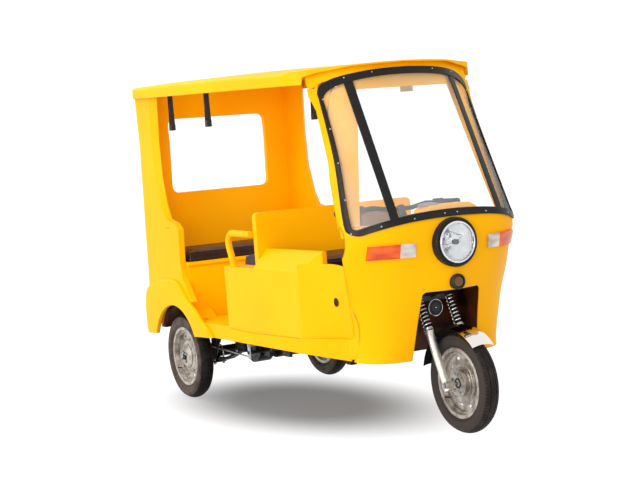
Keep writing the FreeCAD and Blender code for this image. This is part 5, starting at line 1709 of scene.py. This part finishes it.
@dataclass
class Studio:
    """White floor with a painted shadow under the vehicle, white backdrop, soft light and the camera at the
    photograph's angle.

    Attributes:
        eye: where the camera stands.
        azimuth_deg: how far it looks to the side of +Y.
        down_deg: how far it looks down.
        roll_deg: how far it is rolled.
        lens_mm: its focal length on a sensor 36 mm wide.
        floor_half: the floor's radius.
        world_light: how strongly the world lights the vehicle.
        backdrop: how bright the world looks.
        floor_bounce: how bright the floor looks to the rays that light the vehicle.
        shadow_glow: the floor's own light in the middle of the shaded ground.
        shadow_middle: that ground's middle.
        shadow_half: its half axes, across and along.
        lamps: the soft lamps.
    """

    eye: tuple[float, float, float] = (-3.854, -6.8505, 1.407)
    azimuth_deg: float = 28.884
    down_deg: float = 3.881
    roll_deg: float = -4.557
    lens_mm: float = 84.96
    floor_half: float = 60.0
    world_light: float = 1.0
    backdrop: float = 1.12
    floor_bounce: float = 0.6
    shadow_glow: float = 0.17
    shadow_middle: tuple[float, float] = (-0.12, 0.25)
    shadow_half: tuple[float, float] = (0.78, 1.5)
    lamps: tuple[Softbox, ...] = (
        Softbox("overhead_softbox", (-1.6, 2.6, 5.2), (0, 0.2, 0.5), 4.0, 120.0),
        Softbox("right_side_softbox", (-7.0, -1.0, 2.6), (0, 0, 0.8), 4.0, 215.0),
        Softbox("cab_fill", (-4.2, -4.6, 1.3), (0.1, 0.9, 1.0), 1.6, 70.0),
        Softbox("cabin_bounce", (0.0, 0.14, 1.26), (0, 0.9, 0.7), 0.3, 2.6, hidden=True),
        Softbox("driver_bounce", (0.0, -0.78, 1.25), (0, -0.1, 0.75), 0.35, 1.6, hidden=True))

    def camera(self) -> None:
        """Make the camera and give it to the scene."""
        yaw, down, roll = (math.radians(a) for a in (self.azimuth_deg, self.down_deg, self.roll_deg))
        ahead = Vector((math.sin(yaw) * math.cos(down), math.cos(yaw) * math.cos(down), -math.sin(down)))
        right = Vector((math.cos(yaw), -math.sin(yaw), 0))
        up = right.cross(ahead)
        across = right * math.cos(roll) + up * math.sin(roll)
        above = up * math.cos(roll) - right * math.sin(roll)
        data = bpy.data.cameras.new("photograph_view")
        data.lens = self.lens_mm
        data.sensor_width = 36.0
        data.clip_end = 300.0
        camera = bpy.data.objects.new("photograph_view", data)
        turn = Matrix((across, above, -ahead)).transposed().to_4x4()
        camera.matrix_world = Matrix.Translation(self.eye) @ turn
        bpy.context.scene.collection.objects.link(camera)
        bpy.context.scene.camera = camera

    def white_rays(self, tree: NodeTree) -> NodeSocket:
        """Pick the rays that see the backdrop: from the camera, off gloss and through glass."""
        path = add_node(tree, "ShaderNodeLightPath")
        first = add_node(tree, "ShaderNodeMath", {"operation": "MAXIMUM"},
                         {0: path.outputs["Is Camera Ray"], 1: path.outputs["Is Glossy Ray"]})
        both = add_node(tree, "ShaderNodeMath", {"operation": "MAXIMUM"},
                        {0: first.outputs[0], 1: path.outputs["Is Transmission Ray"]})
        return both.outputs[0]

    def world(self) -> None:
        """White backdrop with a plain, softer light on the object."""
        world = bpy.data.worlds.new("white_studio")
        world.use_nodes = True
        tree = world.node_tree
        tree.nodes.clear()
        soft = add_node(tree, "ShaderNodeBackground", {"Color": (1, 1, 1, 1), "Strength": self.world_light})
        white = add_node(tree, "ShaderNodeBackground", {"Color": (1, 1, 1, 1), "Strength": self.backdrop})
        mix = add_node(tree, "ShaderNodeMixShader", {}, {0: self.white_rays(tree), 1: soft.outputs[0],
                                                         2: white.outputs[0]})
        add_node(tree, "ShaderNodeOutputWorld", {}, {0: mix.outputs[0]})
        bpy.context.scene.world = world

    def floor(self) -> None:
        """Wide floor that stays white but for a shadow painted under the vehicle, which also dims the floor's
        glow that lights the vehicle.
        """
        material = bpy.data.materials.new("white_floor_paint")
        material.use_nodes = True
        tree = material.node_tree
        tree.nodes.clear()
        matt = add_node(tree, "ShaderNodeBsdfDiffuse", {"Color": (0.15, 0.15, 0.15, 1)})
        # the vehicle's shadow on the floor is painted by this mask, on both the seen glow and the bounce glow
        shade = self.painted_floor_shadow(tree)
        glow = add_node(tree, "ShaderNodeEmission", {"Color": (1, 1, 1, 1)}, {"Strength": shade})
        bounce = add_node(tree, "ShaderNodeEmission", {"Color": (*[self.floor_bounce] * 3, 1)},
                          {"Strength": shade})
        seen = add_node(tree, "ShaderNodeMixShader", {}, {0: self.white_rays(tree), 1: bounce.outputs[0],
                                                          2: glow.outputs[0]})
        both = add_node(tree, "ShaderNodeAddShader", {}, {0: matt.outputs[0], 1: seen.outputs[0]})
        add_node(tree, "ShaderNodeOutputMaterial", {}, {0: both.outputs[0]})
        form = bmesh.new()
        bmesh.ops.create_circle(form, cap_ends=True, segments=96, radius=self.floor_half)
        floor = from_bmesh("studio_floor", form)
        floor.data.materials.append(material)

    def painted_floor_shadow(self, tree: NodeTree) -> NodeSocket:
        """Give the floor's painted shadow: dim on the ground that the vehicle covers, white beyond it."""
        place = add_node(tree, "ShaderNodeTexCoord").outputs["Object"]
        across, along = self.shadow_half
        for operation, value in (("SUBTRACT", (*self.shadow_middle, 0.0)),
                                 ("MULTIPLY", (1 / across, 1 / along, 0.0))):
            place = add_node(tree, "ShaderNodeVectorMath", {"operation": operation, 1: value},
                             {0: place}).outputs[0]
        far = add_node(tree, "ShaderNodeVectorMath", {"operation": "LENGTH"}, {0: place})
        soft = add_node(tree, "ShaderNodeMapRange",
                        {"interpolation_type": "SMOOTHSTEP", 1: 0.3, 2: 1.0, 3: self.shadow_glow, 4: 1.0},
                        {0: far.outputs["Value"]})
        return soft.outputs[0]

    def build(self) -> None:
        """Set up the whole studio."""
        bpy.context.scene.view_settings.view_transform = "Standard"
        self.camera()
        self.world()
        self.floor()
        for lamp in self.lamps:
            lamp.build()


# Moulded body


@dataclass
class BodyPanels:
    """The yellow mouldings with the details that are fixed to them."""

    panels: tuple[str, ...] = ("front_shell", "roof_panel", "rear_wall", "quarter_panels",
                               "mudguards", "floor_tub", "side_boxes", "seat_base", "partition",
                               "rear_bench_base", "dashboard", "handrails")

    def build(self) -> None:
        """Dress every panel and add the fittings."""
        dress(Look.BODY, **{node: node + "_moulding" for node in self.panels})
        # the front wheel tunnel: raw laminate colours that also paint the shade inside it
        dress(Look.LAMINATE_AND_SHADE, wheel_well="wheel_tunnel")
        # a black rubber grommet whose dark dish also paints the shade inside the hole in the panel
        grommet_and_hole_shade = [(0, 0.0), (0, 0.0171), (0.0035, 0.0171), (0.0037, 0.0212), (0.0052, 0.0206),
                   (0.0052, 0.0175), (0.002, 0.0165), (0.002, 0.0)]
        for side, label in SIDES:
            seam = [at(side * 500.2, s, z) for s, z in ((632, 455), (900, 450), (1170, 445), (1408, 452))]
            joint = tube("sill_joint_" + label, smooth_path(seam, 8), 0.9 * MM, 6)
            fit(joint, Look.SEAL, "body")
            slot = slab("drain_slot_" + label, at(side * 499.0 - 1.6, 2078, 966),
                        at(side * 499.0 + 1.6, 2143, 969), 0.8)
            fit(slot, Look.SEAL, "body")
            plug = turned("hole_shade_grommet_" + label, grommet_and_hole_shade, at(side * 409.5, 402, 633),
                          Vector((side, 0.06, 0)), 36)
            fit(plug, Look.SEAL, "body")
            self.gusset(side, label)
            self.cowl_joint(side, label)
        log.info("body panels: %d", len(self.panels))

    def gusset(self, side: int, label: str) -> None:
        """Fill the upper corner between a pillar and the header, as the moulding's web does."""
        rim = ((338, 1642), (380, 1634), (398, 1622), (405, 1602), (409, 1581), (414, 1560), (416, 1540),
               (411, 1512), (404, 1492), (390, 1492), (374, 1535), (360, 1575), (347, 1607), (336, 1630))
        outline = [at(side * x, 393 + 0.284 * (z - 1607) + 0.28 * (x - 358), z) for x, z in rim]
        web = extruded("header_gusset_" + label, outline, Vector((0, 0.003, 0)))
        fit(web, Look.BODY, "body")
        cap = slab("pillar_web_" + label, at(side * 404 - 8, 431, 1620), at(side * 404 + 8, 446, 1655), 4.0)
        fit(cap, Look.BODY, "body")

    def cowl_joint(self, side: int, label: str) -> None:
        """Bridge the cowl's rear edge and the step panel with the bonded strip that hides the joint."""
        rise, thick, steps, overlap = 0.7, 2.5, 8, 4  # millimetres, millimetres, pieces and samples
        rows = []
        for z in range(354, 794, 11):
            backs = [(s, x) for s in range(200, 345, 3)
                     if (x := beside("front_shell", side, s, z)) is not None and x > 330]
            fronts = [(s, x) for s in range(232, 372, 3) for node in ("side_boxes", "floor_tub")
                      if (x := beside(node, side, s, z)) is not None and x > 370]
            if not backs or not fronts or fronts[0][0] < backs[-1][0]:
                continue
            (s0, x0), (s1, x1) = backs[max(len(backs) - overlap, 0)], fronts[min(overlap, len(fronts) - 1)]
            face = [(x0 + (x1 - x0) * step / steps + rise, s0 + (s1 - s0) * step / steps)
                    for step in range(steps + 1)]
            rows.append([at(side * x, s, z) for x, s in face]
                        + [at(side * (x - thick - rise), s, z) for x, s in reversed(face)])
        fit(swept("cowl_joint_" + label, rows, False), Look.BODY, "body")
        log.info("joint strip rows: %d", len(rows))


def main() -> None:
    """Build every sub-assembly."""
    logging.basicConfig(level=logging.INFO, format="%(name)s: %(message)s")
    for assembly in (Studio(), BodyPanels(), Screen(), Seats(), RunningGear(), FrontFork(), Lamps(), Cabin(),
                     Underside()):
        assembly.build()


if __name__ == "__main__":
    main()
